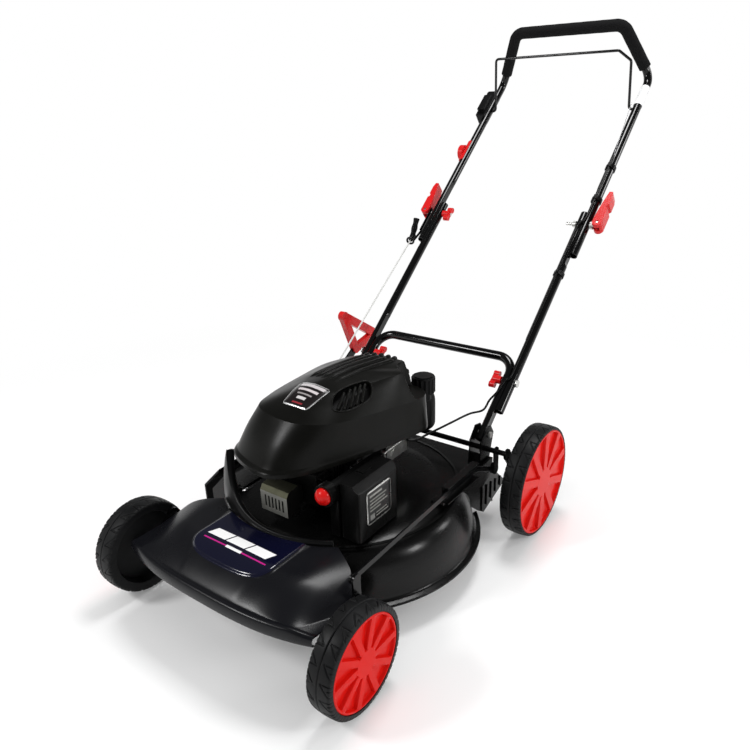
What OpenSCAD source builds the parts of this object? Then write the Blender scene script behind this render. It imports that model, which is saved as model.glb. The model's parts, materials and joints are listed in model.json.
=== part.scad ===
// Push lawn mower with a folding three-part handle, in millimetres.
// X runs across the mower, -Y is the front, +Y is the operator's side, +Z is up.
// The origin lies on the ground, straight below the blade shaft.

/* [Wheels] */
// Radius of a front wheel
front_wheel_r = 97; // [92:1:102]
// Radius of a rear wheel
rear_wheel_r = 127; // [122:1:132]
// Width of every wheel
wheel_w = 48; // [44:1:52]
// Black tyre band that stays visible round a front cover
front_band = 12.7; // [10:0.1:16]
// Black tyre band that stays visible round a rear cover
rear_band = 7.7; // [6:0.1:12]
// Outer face of the front wheels from the middle plane
front_track = 301.5; // [298:0.5:306]
// Outer face of the rear wheels from the middle plane
rear_track = 329; // [325:0.5:334]
// Thickness of a red wheel cover
cover_t = 9; // [7:0.5:12]
// Spokes on a wheel cover
spokes = 10; // [8:1:12]
// Axle radius
axle_r = 6; // [5:0.5:7]

/* [Axles and height adjustment] */
// Front axle line ahead of the blade shaft
front_axle_y = 335; // [330:1:345]
// Rear axle line behind the blade shaft
rear_axle_y = 289; // [285:1:298]
// Height of the rear axle pivot
rear_pivot_z = 205; // [202:1:208]
// Height of the front axle pivot
front_pivot_z = 148; // [144:1:150]
// Horizontal throw of both axle cranks
crank_throw = 60; // [56:1:64]
// Distance from a crank pivot to its link pin
link_arm = 45; // [42:1:48]
// Thickness of the steel straps
strap_t = 5; // [4:0.5:6]
// Width of the steel straps
strap_w = 24; // [20:1:28]
// Middle plane of the height link
link_x = 231; // [230:0.5:232]
// Length of the height lever up to its grip
lever_l = 190; // [180:5:200]

/* [Deck] */
// Height of the flat deck top
deck_z = 170; // [168:1:172]
// Radius of the deck at its lower rim
deck_r = 288; // [282:1:292]
// Height of the lower rim above the ground
rim_z = 57; // [50:1:62]
// Radius of the flat deck top
deck_top_r = 236; // [232:1:238]
// Sheet thickness of the deck
sheet = 2.5; // [2:0.1:3]
// Half width of the rear deck box
rear_half = 214; // [208:1:216]
// Back wall of the rear deck box
rear_wall_y = 262; // [256:1:268]

/* [Front apron] */
// Half width of the apron
apron_half = 233; // [226:1:234]
// Foremost point of the apron lip
apron_front = 418; // [410:1:426]
// Height of the lip's lower edge
lip_low = 131; // [126:1:136]
// Height of the lip's upper edge
lip_high = 157; // [152:1:162]
// Radius of the collar round the engine
collar_r = 262; // [258:1:266]
// Height of the collar base
collar_z = 186; // [182:1:190]
// Thickness of the apron moulding
apron_t = 3; // [2.5:0.1:4]

/* [Blade and shaft] */
// Tip radius of the blade
blade_r = 255; // [230:1:262]
// Height of the blade
blade_z = 84; // [80:1:92]
// Width of the blade
blade_w = 52; // [46:1:60]
// Thickness of the blade
blade_t = 3.5; // [3:0.1:4.5]
// Radius of the crankshaft
shaft_r = 12.5; // [11:0.5:14]

/* [Engine] */
// Lower edge of the engine shroud
shroud_z = 297; // [292:1:304]
// Height of the crease round the shroud
crease_z = 385; // [380:1:390]
// Height of the shroud's top
shroud_top = 432; // [426:1:438]
// Wall of the shroud
shroud_t = 3; // [2.5:0.1:4]
// Radius of the fuel cap
fuel_cap_r = 26; // [22:1:28]
// Radius of the primer bulb
primer_r = 17; // [14:0.5:18]

/* [Handle] */
// Slope of the handle tubes
tilt = 39.78; // [38:0.1:41]
// Outer radius of every handle tube
tube_r = 11; // [10:0.5:12]
// Wall of the handle tubes
tube_wall = 1.5; // [1.2:0.1:2]
// Half distance between the lower handle's legs
leg_x = 193; // [190:1:196]
// Sideways step from one tube section to the next
tube_step = 14; // [13.5:0.5:15]
// Lower folding joint, along the slope
joint_low = 493; // [485:1:500]
// Upper folding joint, along the slope
joint_high = 966; // [955:1:975]
// Crossbar of the lower handle, along the slope
crossbar_s = 555; // [550:1:565]
// Upper bend of the upper handle, along the slope
bend_s = 1496; // [1488:1:1500]
// Height of the grip bar above the slope
grip_h = 142; // [136:1:148]
// Half width of the grip bar between its corners
grip_half = 156; // [148:1:164]
// Wall of the foam grip
foam_t = 5; // [4:0.5:6]
// Bail pivot, along the slope
bail_s = 1374; // [1368:1:1380]
// Length of the bail's arms
bail_l = 147; // [140:1:150]
// Radius of the bail wire
bail_r = 3.5; // [3:0.1:4]

/* [Fits] */
// Radial clearance of a shaft in its bore
fit = 0.05; // [0.02:0.01:0.09]
// Gap between pieces that move past each other
gap = 0.3; // [0.2:0.05:0.4]
// Gap between pieces that are seated on each other
seat = 0.1; // [0.05:0.05:0.2]

/* [Hidden] */
$fn = 48;

// Handle plane: every tube lies on one slope that meets the ground line at this y.
slope_y = -20;
dir_s = [0, cos(tilt), sin(tilt)];
dir_h = [0, -sin(tilt), cos(tilt)];
function hp(x, s, h = 0) = [x, slope_y, 0] + s * dir_s + h * dir_h;
mid_x = leg_x + tube_step;
top_x = mid_x + tube_step;
// The tubes are flattened where they lie side by side.
flat_low = leg_x + tube_step / 2;
flat_high = mid_x + tube_step / 2;
tube_in = tube_r - tube_wall;
bolt_r = 4;

// Axle geometry.
rear_pivot = [rear_axle_y - crank_throw, rear_pivot_z];
front_pivot = [-(front_axle_y - crank_throw), front_pivot_z];
rear_axle = [rear_axle_y, rear_wheel_r];
front_axle = [-front_axle_y, front_wheel_r];
front_pin = front_pivot + [0, link_arm];
rear_pin = rear_pivot - [0, link_arm];
link_t = 4;
arm_x_front = front_track - wheel_w - strap_t - 5;
arm_x_rear = rear_track - wheel_w - 14 - strap_t;
pin_r = 4;
link_slot = 4.8;

// Starter rope: from the guide's eye on the handle down to the engine.
rope_eye = [-258, 645, 550];
rope_engine = [-128.4, 91.1, 330.8];
rope_split_x = -194;
rope_r = 2;
eye_r = 9.5;
eye_wire_r = 3;
rope_core_r = 1.5;
rope_dir = (rope_eye - rope_engine) / norm(rope_eye - rope_engine);
rope_split = rope_engine + (rope_eye - rope_engine)
    * (rope_split_x - rope_engine.x) / (rope_eye.x - rope_engine.x);

// Facets of the bent tubes.
tube_sides = 24;
bend_steps = 8;

// Brake cable route, by hand, in the three handle sections.
cable_r = 2.5;
cable_h = tube_r + cable_r + 0.2;

// ---------------------------------------------------------------- helpers

function unit(v) = v / norm(v);
function arc(c, r, a0, a1, n) = [for (i = [0:n]) c + r * [cos(a0 + (a1 - a0) * i / n),
    sin(a0 + (a1 - a0) * i / n)]];

// Solid round bar between two points.
module bar(p, q, r) {
    v = q - p;
    translate(p) rotate([0, acos(v.z / norm(v)), atan2(v.y, v.x)]) cylinder(h = norm(v), r = r);
}

function setback(pts, i, bend_r) =
    bend_r * tan(acos(unit(pts[i] - pts[i - 1]) * unit(pts[i + 1] - pts[i])) / 2);

// Points of the round bend at corner i, each as [place, direction].
function bend_at(pts, i, bend_r, n) = let (
    u = unit(pts[i] - pts[i - 1]),
    v = unit(pts[i + 1] - pts[i]),
    turn = acos(u * v),
    m = unit(v - u * (u * v)),
    o = pts[i] - u * setback(pts, i, bend_r) + m * bend_r)
    [for (j = [0:n]) let (a = turn * j / n) [o - m * bend_r * cos(a) + u * bend_r * sin(a),
        u * cos(a) + m * sin(a)]];

// Whole route of a bent tube; radii holds one bend radius for each inner corner.
function route(pts, radii, extra) = let (last = len(pts) - 1, u = unit(pts[1] - pts[0]),
    v = unit(pts[last] - pts[last - 1])) concat([[pts[0] - u * extra, u]],
    [for (i = [1:last - 1]) each bend_at(pts, i, radii[i - 1], bend_steps)],
    [[pts[last] + v * extra, v]]);

// Round bar along a list of corners, with round bends.
module pipe(pts, r, radii, extra = 0, sides = tube_sides) {
    stations = route(pts, radii, extra);
    sweep([for (s = stations) let (a = unit(cross(s[1], [0, -1, 0])), b = cross(s[1], a))
        [for (j = [0:sides - 1]) s[0] + r * (a * cos(360 * j / sides) - b * sin(360 * j / sides))]]);
}

// Round bar along X.
module xbar(x0, x1, yz, r) {
    translate([min(x0, x1), yz.x, yz.y]) rotate([0, 90, 0]) cylinder(h = abs(x1 - x0), r = r);
}

// Box from its lowest to its highest corner.
module box(lo, hi) {
    translate(lo) cube(hi - lo);
}

// Flat steel strap between two points of a side plane, with round eyes at its ends.
module strap(x0, x1, p, q, w) {
    v = (q - p) / norm(q - p);
    half = w / 2 * [-v.y, v.x];
    xbar(x0, x1, p, w / 2 + 1);
    xbar(x0, x1, q, w / 2 + 1);
    side_plate(x0, x1, [p - half, q - half, q + half, p + half]);
}

// Piece placed in the handle's frame: X across, Y along the slope, Z square to it.
module on_handle(x, s, h = 0) {
    translate(hp(x, s, h)) rotate([tilt, 0, 0]) children();
}

module both_sides() {
    children();
    mirror([1, 0, 0]) children();
}

// Swept tube for a cord that lies along its own points.
module cord(pts, r, sides) {
    n = len(pts);
    function tangent(i) = unit(pts[min(i + 1, n - 1)] - pts[max(i - 1, 0)]);
    function side(i) = unit(cross(tangent(i), [0.31, -0.2, 0.93]));
    points = [for (i = [0:n - 1], j = [0:sides - 1])
        pts[i] + r * (cos(360 * j / sides) * side(i)
            + sin(360 * j / sides) * cross(tangent(i), side(i)))];
    walls = [for (i = [0:n - 2], j = [0:sides - 1])
        [i * sides + j, (i + 1) * sides + j, (i + 1) * sides + (j + 1) % sides,
            i * sides + (j + 1) % sides]];
    ends = [[for (j = [0:sides - 1]) j],
        [for (j = [sides - 1:-1:0]) (n - 1) * sides + j]];
    polyhedron(points, concat(walls, ends));
}

// Smooth curve through hand-chosen points.
function blend3(a, b, c, d, t) = 0.5 * (2 * b + (c - a) * t + (2 * a - 5 * b + 4 * c - d) * t * t
    + (3 * b - a - 3 * c + d) * t * t * t);
function smooth(pts, k) = [for (i = [0:len(pts) - 2], j = [0:k - 1])
    blend3(pts[max(i - 1, 0)], pts[i], pts[i + 1], pts[min(i + 2, len(pts) - 1)], j / k),
    pts[len(pts) - 1]];
function smooth_ring(pts, k) = [for (i = [0:len(pts) - 1], j = [0:k - 1])
    blend3(pts[(i + len(pts) - 1) % len(pts)], pts[i], pts[(i + 1) % len(pts)],
        pts[(i + 2) % len(pts)], j / k)];

// Solid through equal cross sections, one after another. Sections whose second half runs
// back along the first half can close as a ladder, so that their ends need not be flat.
module sweep(sections, ladder = false) {
    n = len(sections[0]);
    m = len(sections);
    walls = [for (i = [0:m - 2], j = [0:n - 1]) for (f = [0, 1])
        let (a = i * n + j, b = i * n + (j + 1) % n, c = a + n, d = b + n)
        f == 0 ? [a, b, c] : [b, d, c]];
    end = (m - 1) * n;
    rungs = [for (j = [0:n / 2 - 2]) each [[j, n - 1 - j, j + 1], [j + 1, n - 1 - j, n - 2 - j],
        [end + j, end + j + 1, end + n - 1 - j],
        [end + j + 1, end + n - 2 - j, end + n - 1 - j]]];
    flats = [[for (j = [n - 1:-1:0]) j], [for (j = [0:n - 1]) end + j]];
    polyhedron([for (s = sections) each s], concat(walls, ladder ? rungs : flats));
}

// Plate in a side plane: an outline of [y, z] points between two x values.
module side_plate(x0, x1, outline) {
    translate([x0, 0, 0]) rotate([90, 0, 90]) linear_extrude(x1 - x0) polygon(outline);
}

// Upright box with rounded vertical edges.
module soft_box(lo, hi, r) {
    box(lo + [r, 0, 0], hi - [r, 0, 0]);
    box(lo + [0, r, 0], hi - [0, r, 0]);
    for (x = [lo.x + r, hi.x - r], y = [lo.y + r, hi.y - r])
        translate([x, y, lo.z]) cylinder(h = hi.z - lo.z, r = r);
}

// ---------------------------------------------------------------- deck

shoulder_r = 22;
wall_low = [deck_r - 15, rim_z + 9];
// Side wall of the deck from the top flat to the rim, moved inwards by t.
function wall(t) = concat(arc([deck_top_r, deck_z - shoulder_r], shoulder_r - t, 90, 5, 6),
    [[deck_top_r + 26 - t, deck_z - 58], [deck_top_r + 33 - t, deck_z - 66 - t / 3],
     [wall_low.x - t, wall_low.y]]);
dome = concat([[0, deck_z]], wall(0), [[deck_r - 3, rim_z + 5], [deck_r, rim_z], [0, rim_z]]);
dome_in = concat([[0, deck_z - sheet]], wall(sheet),
    [[wall_low.x - sheet, rim_z - 1], [0, rim_z - 1]]);
box_top = deck_z - 2;
chute_front = -150;
chute_back = 95;
chute_x = deck_r - 20;
flap_out = deck_r + 1;
flap_in = deck_r - 3;
chute_outline = [[-150, 163], [-196, 193], [-212, 193], [-chute_x, 136], [-chute_x, 62],
    [-150, 62]];
chute_hole = [[-140, 159], [-197, 190.5], [-211, 190.5], [-chute_x - 1, 131], [-chute_x - 1, 58],
    [-140, 58]];
chute_hinge = [-222, 203];
hinge_r = 3;
flap_hinge = [rear_wall_y + 12, 122];
crank_hole_r = 34;
engine_bolts = [30, 150, 270];
engine_bolt_ring = 86;
ear_x = 150;
side_rib_x = rear_half + 3;

// Solid in the plane across the mower: an outline of [x, z] points between two y values.
module cross_plate(y0, y1, outline) {
    translate([0, y1, 0]) rotate([90, 0, 0]) linear_extrude(y1 - y0) polygon(outline);
}

module deck_outside() {
    difference() {
        rotate_extrude($fn = 96) polygon(dome);
        box([-deck_r - 1, rear_wall_y - sheet, 0], [deck_r + 1, deck_r + 1, deck_z - 40]);
    }
    box([-rear_half, 0, 100], [rear_half, rear_wall_y, box_top]);
    cross_plate(chute_front, chute_back, chute_outline);
}

module deck_inside() {
    rotate_extrude($fn = 96) polygon(dome_in);
    box([-rear_half + sheet, 0, 50], [rear_half - sheet, rear_wall_y - sheet, box_top - sheet]);
    cross_plate(chute_front + sheet, chute_back - sheet, chute_hole);
    box([-rear_half + 24, 210, 50], [rear_half - 24, rear_wall_y + 1, 112]);
    cylinder(h = 300, r = crank_hole_r);
    for (a = engine_bolts) rotate([0, 0, a]) translate([engine_bolt_ring, 0, 100])
        cylinder(h = 100, r = bolt_r + fit);
}

module front_ears() {
    both_sides() difference() {
        strap(ear_x, ear_x + 3, [-195, front_pivot_z - 8], front_pivot, 30);
        translate([0, 0, 60]) cylinder(h = 110, r = deck_top_r + 3);
        xbar(0, 300, front_pivot, axle_r + fit);
    }
}

module side_panels() {
    both_sides() {
        side_plate(rear_half - sheet, rear_half, [[150, 101], [196, 62], [225, 42], [330, 75],
            [285, 118], [rear_wall_y, 130], [150, 130]]);
        for (i = [0:4]) side_plate(rear_half, side_rib_x, [[212 + 22 * i, 52 + 6 * i],
            [216 + 22 * i, 52 + 6 * i], [216 + 22 * i, 112 - 3 * i], [212 + 22 * i, 112 - 3 * i]]);
    }
}

module deck_shell() {
    color([0.05, 0.05, 0.06]) {
        difference() {
            deck_outside();
            deck_inside();
        }
        front_ears();
        side_panels();
        // Lugs of the rear flap and of the chute flap.
        both_sides() difference() {
            box([rear_half - 9, rear_wall_y - 1, flap_hinge.y - 8],
                [rear_half - 5, flap_hinge.x + 6, flap_hinge.y + 8]);
            xbar(0, 300, flap_hinge, hinge_r + fit);
        }
        for (y = [chute_front + 14, chute_back - 18]) difference() {
            cross_plate(y, y + 4, [[-205, 192], [-205, 208], [-227, 208], [-227, 197],
                [-212, 192]]);
            translate([chute_hinge.x, 0, chute_hinge.y]) rotate([90, 0, 0])
                cylinder(h = 400, r = hinge_r + fit, center = true);
        }
    }
}

// Trailing flap behind the deck, on its own rod.
flap_x = rear_half - 9 - gap;
module rear_flap() {
    color([0.07, 0.07, 0.07]) {
        xbar(-rear_half + 4, rear_half - 4, flap_hinge, hinge_r);
        side_plate(-flap_x, flap_x, [[flap_hinge.x - 2, flap_hinge.y],
            [flap_hinge.x + 2, flap_hinge.y], [flap_hinge.x + 14, 36], [flap_hinge.x + 10, 36]]);
    }
}

// Sprung flap over the side discharge.
module chute_flap() {
    color([0.08, 0.08, 0.09]) {
        translate([chute_hinge.x, chute_back - 6, chute_hinge.y]) rotate([90, 0, 0])
            cylinder(h = chute_back - chute_front - 12, r = hinge_r);
        cross_plate(chute_front + 18.5, chute_back - 18.5, [[-220, 205.5], [-223, 206.5],
            [-flap_out, 142], [-flap_out, 74], [-flap_in, 74], [-flap_in, 140], [-223, 201],
            [-220, 201]]);
        cross_plate(chute_front - 4, chute_back + 4, [[-231, 198.7], [-flap_out, 142],
            [-flap_out, 74], [-flap_in, 74], [-flap_in, 140], [-233, 191.2]]);
    }
}

// ---------------------------------------------------------------- apron

apron_nx = 36;
apron_nv = 12;
lip_curve = 890;
collar_half = 150;
function lip_y(x) = -apron_front + x * x / (2 * lip_curve);
function back_y(x) = abs(x) <= collar_half ? -sqrt(collar_r * collar_r - x * x)
    : -sqrt(collar_r * collar_r - collar_half * collar_half)
        - (abs(x) - collar_half) * 0.57;
function back_z(x) = collar_z - 12 * max(0, abs(x) - collar_half) / (apron_half - collar_half);
// Raised middle field of the apron: its half width and its height at a place.
function field_w(y) = y > -339 ? 86 + (y + 339) * 0.38 : 86 + (y + 339) * 0.22;
function field_z(y) = y > -339 ? collar_z + 6 : collar_z + 6 - (-339 - y) * 0.72;
function ease(t) = let (c = min(1, max(0, t))) c * c * (3 - 2 * c);
function apron_point(x, v) = let (
    y = lip_y(x) + (back_y(x) - lip_y(x)) * v,
    base = lip_high + (back_z(x) - lip_high) * pow(sin(90 * v), 0.85),
    m = ease((field_w(y) + 5 - abs(x)) / 10))
    [x, y, base + m * (field_z(y) - base)];
apron_xs = [for (i = [0:apron_nx]) apron_half * sin(-90 + 180 * i / apron_nx) * 0.35
    + apron_half * (-1 + 2 * i / apron_nx) * 0.65];
function apron_column(x) = concat([[x, lip_y(x) + 4, lip_low]],
    [for (j = [0:apron_nv]) apron_point(x, pow(j / apron_nv, 1.15))]);
function skirt(x) = let (c = apron_column(x)) [for (j = [0:len(c) - 1])
    [x * 1.01, c[j].y, c[j].z - 6 - 3 * j / (len(c) - 1)]];
function inner_column(c, dx, t) = [for (j = [0:len(c) - 1]) c[j] + (j < 2
    ? [dx, apron_t + 1, j == 0 ? 0 : -t / 3] : [dx, 0.4, -t])];
// Outline of the moulding at one column: the outside from front to back, then the inside.
function apron_section(c, dx, t) = let (inner = inner_column(c, dx, t))
    concat(c, [for (j = [len(c) - 1:-1:0]) inner[j]]);

collar_left = -125;
collar_right = -57;
collar_horn = 96;
function collar_section(i, n) = let (u = i / n, a = collar_left + (collar_right - collar_left) * u,
    h = pow(1 - u, 4), d = [cos(a), sin(a), 0], z = [0, 0, 1],
    low = deck_z + seat, top = collar_z + 8 + collar_horn * h)
    [d * (collar_r - 24) + z * low, d * (collar_r - 1) + z * (collar_z - 5),
     d * (collar_r - 1 - 8 * h) + z * (collar_z + 2 + (top - collar_z) * 0.4),
     d * (collar_r - 1 - 24 * h) + z * top, d * (collar_r - 5 - 24 * h) + z * top,
     d * (collar_r - 4 - 8 * h) + z * (collar_z + (top - collar_z) * 0.4),
     d * (collar_r - 5) + z * (collar_z - 2), d * (collar_r - 24) + z * (low + 3)];

module front_apron() {
    color([0.09, 0.09, 0.1]) {
        sweep(concat([apron_section(skirt(-apron_half), apron_t, 0)],
            [for (x = apron_xs) apron_section(apron_column(x),
                abs(x) < apron_half - 1 ? 0 : x < 0 ? apron_t : -apron_t, apron_t)],
            [apron_section(skirt(apron_half), -apron_t, 0)]), ladder = true);
        sweep([for (i = [0:28]) collar_section(i, 28)], ladder = true);
    }
}

// ---------------------------------------------------------------- handle seats

leg_bolt_s = 356;
bracket_in = leg_x - tube_r - 1 - 3;
bracket_out = leg_x + tube_r + 0.5;
leg_bolt = [slope_y + leg_bolt_s * cos(tilt), leg_bolt_s * sin(tilt)];

module handle_brackets() {
    color([0.06, 0.06, 0.07]) both_sides() difference() {
        union() {
            for (x = [bracket_in, bracket_out]) side_plate(x, x + 3, [[212, box_top],
                [258, box_top], [275, 226], [262, 246], [240, 250], [216, 222]]);
            box([bracket_in, 212, box_top], [bracket_out + 3, 258, box_top + 2.5]);
        }
        xbar(0, 300, rear_pivot, axle_r + fit);
        xbar(0, 300, leg_bolt, bolt_r + fit);
    }
}

// ---------------------------------------------------------------- handle tubes

leg_s = 337;
low_corner_r = 44;
low_bends = [low_corner_r, low_corner_r];
module leg_cut(r, flat) {
    intersection() {
        children();
        box([-flat, -2000, -10], [flat, 3000, 3000]);
    }
}

module lower_handle() {
    pts = [hp(-leg_x, leg_s), hp(-leg_x, crossbar_s), hp(leg_x, crossbar_s), hp(leg_x, leg_s)];
    color([0.05, 0.05, 0.05]) difference() {
        leg_cut(tube_r, flat_low - gap / 2) pipe(pts, tube_r, low_bends);
        leg_cut(tube_in, flat_low - gap / 2 - tube_wall) pipe(pts, tube_in, low_bends, 1);
        for (s = [leg_bolt_s, joint_low]) xbar(-300, 300,
            [slope_y + s * cos(tilt), s * sin(tilt)], bolt_r + fit);
    }
}

mid_low_s = 414;
mid_high_s = 1000;
function joint_at(s) = [slope_y + s * cos(tilt), s * sin(tilt)];

// One middle tube, with a flat on its inner side below and on its outer side above.
module mid_tube_solid(r, shrink, extra) {
    difference() {
        bar(hp(mid_x, mid_low_s - extra), hp(mid_x, mid_high_s + extra), r);
        on_handle(0, mid_low_s - 5) box([flat_low + gap / 2 + shrink - 40, -5, -20],
            [flat_low + gap / 2 + shrink, 200, 20]);
        on_handle(0, joint_high) box([flat_high - gap / 2 - shrink, -130, -20],
            [flat_high + 40, 60, 20]);
    }
}

module mid_handle() {
    color([0.05, 0.05, 0.05]) {
        both_sides() difference() {
            mid_tube_solid(tube_r, 0, 0);
            mid_tube_solid(tube_in, tube_wall, 1);
            for (s = [joint_low, joint_high]) xbar(150, 300, joint_at(s), bolt_r + fit);
        }
        // Cable clip round the right tube.
        on_handle(mid_x, clip_mid_s) cable_clip();
    }
}

clip_mid_s = 800;
clip_w = 12;
// Plastic clip that wraps a tube and holds the cable above it.
module cable_clip() {
    difference() {
        union() {
            rotate([-90, 0, 0]) cylinder(h = clip_w, r = tube_r + 2.6);
            box([-4.6, 0, tube_r], [4.6, clip_w, cable_h + cable_r + 2]);
        }
        translate([0, -1, 0]) rotate([-90, 0, 0]) cylinder(h = clip_w + 2, r = tube_r + seat);
        translate([0, -1, cable_h]) rotate([-90, 0, 0])
            cylinder(h = clip_w + 2, r = cable_r + seat);
        box([-1.5, -1, tube_r - 2], [1.5, clip_w + 1, cable_h]);
    }
}

top_low_s = 867;
bend_r = 38;
grip_r = 32;
grip_corner = hp(grip_half, bend_s + 36, grip_h);
function mirrored(p) = [-p.x, p.y, p.z];
top_pts = [hp(-top_x, top_low_s), hp(-top_x, bend_s), mirrored(grip_corner), grip_corner,
    hp(top_x, bend_s), hp(top_x, top_low_s)];

top_bends = [bend_r, grip_r, grip_r, bend_r];

module top_flats(shrink) {
    both_sides() on_handle(0, top_low_s - 5)
        box([flat_high + gap / 2 + shrink - 40, -5, -20], [flat_high + gap / 2 + shrink, 212, 20]);
}

module upper_handle() {
    color([0.05, 0.05, 0.05]) difference() {
        difference() {
            pipe(top_pts, tube_r, top_bends);
            top_flats(0);
        }
        difference() {
            pipe(top_pts, tube_in, top_bends, 1);
            top_flats(tube_wall);
        }
        xbar(-300, 300, joint_at(joint_high), bolt_r + fit);
        xbar(-top_x, top_x, joint_at(bail_s), bail_r + fit);
    }
}

grip_start = 0.14;
module foam_grip() {
    a = hp(top_x, bend_s) + (grip_corner - hp(top_x, bend_s)) * grip_start
        + unit(grip_corner - hp(top_x, bend_s)) * 8;
    pts = [mirrored(a), mirrored(grip_corner), grip_corner, a];
    color([0.03, 0.03, 0.03]) difference() {
        pipe(pts, tube_r + foam_t, [grip_r, grip_r]);
        pipe(pts, tube_r + seat, [grip_r, grip_r], 1);
    }
}

// ---------------------------------------------------------------- bail

bail_x = top_x - tube_r - 6 - bail_r;
bail_lean = 6;
bail_bend = 9;
function bail_at(x, l) = [x, joint_at(bail_s).x - l * sin(bail_lean),
    joint_at(bail_s).y + l * cos(bail_lean)];
module bail() {
    pts = [bail_at(-top_x + 3, 0), bail_at(-bail_x, 0), bail_at(-bail_x + 4, bail_l * 0.98),
        bail_at(bail_x - 36, bail_l), bail_at(bail_x - 2, bail_l - 26), bail_at(bail_x, 0),
        bail_at(top_x - 3, 0)];
    color([0.06, 0.06, 0.06]) pipe(pts, bail_r, [bail_bend, bail_bend, bail_bend, bail_bend, bail_bend], 0, 12);
}

module switch_box() {
    color([0.1, 0.1, 0.11]) difference() {
        union() {
            on_handle(-top_x, 1336) soft_box([-27, 0, -15], [6, 104, 19], 5);
            on_handle(-top_x, 1352) box([-24, 0, 18], [-2, 60, 30]);
        }
        on_handle(-top_x, 1300) rotate([-90, 0, 0]) cylinder(h = 200, r = tube_r + seat);
        on_handle(-top_x, 1300) box([3, 0, -40], [30, 200, 40]);
    }
}

// Bare sleeve, hand hook and cable fittings on the upper handle.
module handle_trim() {
    color([0.85, 0.85, 0.85]) on_handle(top_x, 1384) rotate([-90, 0, 0]) difference() {
        cylinder(h = 70, r = tube_r + 1);
        translate([0, 0, -1]) cylinder(h = 72, r = tube_r + seat);
    }
    color([0.06, 0.06, 0.06]) for (s = [clip_top_s, clip_low_s]) on_handle(top_x, s) cable_clip();
    color([0.75, 0.05, 0.05]) on_handle(-top_x, 1166) difference() {
        union() {
            rotate([-90, 0, 0]) cylinder(h = 72, r = tube_r + 3);
            translate([-tube_r - 12, 36, 0]) rotate([0, 90, 0]) cylinder(h = 14, r = 22);
        }
        translate([0, -1, 0]) rotate([-90, 0, 0]) cylinder(h = 74, r = tube_r + seat);
        box([2, -1, -40], [40, 80, 40]);
    }
}
clip_top_s = 1150;
clip_low_s = 1040;

// ---------------------------------------------------------------- clamps, knobs and bolts

clamp_eye_r = 12;
clamp_x = top_x + tube_r + 7 + clamp_eye_r;
clamp_pin = 4;
knob_gap = 0.3;

// Bolt with its cross pin; the lever turns on the pin.
module clamp_bolt() {
    xbar(mid_x - tube_r - 26, clamp_x, joint_at(joint_high), bolt_r);
    on_handle(clamp_x, joint_high, -15) cylinder(h = 30, r = clamp_pin);
}

module clamp_bolts() {
    color([0.6, 0.6, 0.62]) {
        both_sides() clamp_bolt();
        xbar(top_x + tube_r + gap, clamp_x - clamp_eye_r - gap, joint_at(joint_high), 10);
        xbar(mid_x - tube_r - 8, mid_x - tube_r - gap, joint_at(joint_high), 8);
    }
}

// Red clamp lever in the handle frame, pin at the origin, blade towards +Y.
module clamp_lever() {
    difference() {
        union() {
            translate([0, 0, -16.5]) cylinder(h = 33, r = clamp_eye_r);
            linear_extrude(33, center = true) polygon([[-12, 4], [-10, 30], [-6, 62], [0, 98],
                [9, 98], [12, 84], [12, 4]]);
        }
        translate([0, 0, -30]) cylinder(h = 60, r = clamp_pin + fit);
        box([-20, -16, -6], [7, 16, 6]);
        translate([0, 0, -6]) cylinder(h = 12, r = 9);
        translate([14, 52, -40]) cylinder(h = 80, r = 7);
    }
}

module clamp_lever_right() {
    color([0.75, 0.05, 0.05]) on_handle(clamp_x, joint_high) clamp_lever();
}

module clamp_lever_left() {
    color([0.75, 0.05, 0.05]) on_handle(-clamp_x, joint_high) mirror([1, 0, 0]) clamp_lever();
}

// Wing knob on a bolt along X: hub and two wings, from x0 inwards.
module wing_knob(x0, at) {
    color([0.75, 0.05, 0.05]) difference() {
        union() {
            xbar(x0 - 20, x0, at, 9.5);
            translate([x0 - 24, at.x, at.y]) rotate([35, 0, 0]) {
                translate([0, -15, -5]) cube([14, 30, 10]);
                for (k = [-15, 15]) translate([0, k, 0]) rotate([0, 90, 0])
                    cylinder(h = 14, r = 7.5);
            }
        }
        xbar(x0 - 25, x0 + 1, at, bolt_r + fit);
    }
}

module knob_lower_right() {
    wing_knob(leg_x - tube_r - knob_gap, joint_at(joint_low));
}

module knob_lower_left() {
    mirror([1, 0, 0]) wing_knob(leg_x - tube_r - knob_gap, joint_at(joint_low));
}

module knob_upper_left() {
    mirror([1, 0, 0]) wing_knob(mid_x - tube_r - knob_gap, joint_at(joint_high));
}

module deck_fasteners() {
    color([0.62, 0.62, 0.65]) {
        for (a = engine_bolts) rotate([0, 0, a]) translate([engine_bolt_ring, 0, 0]) {
            translate([0, 0, deck_z - sheet - 6]) cylinder(h = 6, r = 6.5, $fn = 6);
            translate([0, 0, deck_z - sheet - 0.5]) cylinder(h = 16, r = bolt_r);
        }
        both_sides() {
            xbar(bracket_in - 5, bracket_out + 8, leg_bolt, bolt_r);
            xbar(bracket_out + 3, bracket_out + 8, leg_bolt, 7);
            xbar(bracket_in - 5, bracket_in, leg_bolt, 7);
            xbar(leg_x - tube_r - 17, mid_x + tube_r + 5, joint_at(joint_low), bolt_r);
            xbar(mid_x + tube_r + gap, mid_x + tube_r + 5, joint_at(joint_low), 9);
        }
    }
}

// ---------------------------------------------------------------- engine

block_top = 268;
block_r = 78;
barrel_x = 44;
head_front = -145;
head_back = -112;
lug = [88, 52];

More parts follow.
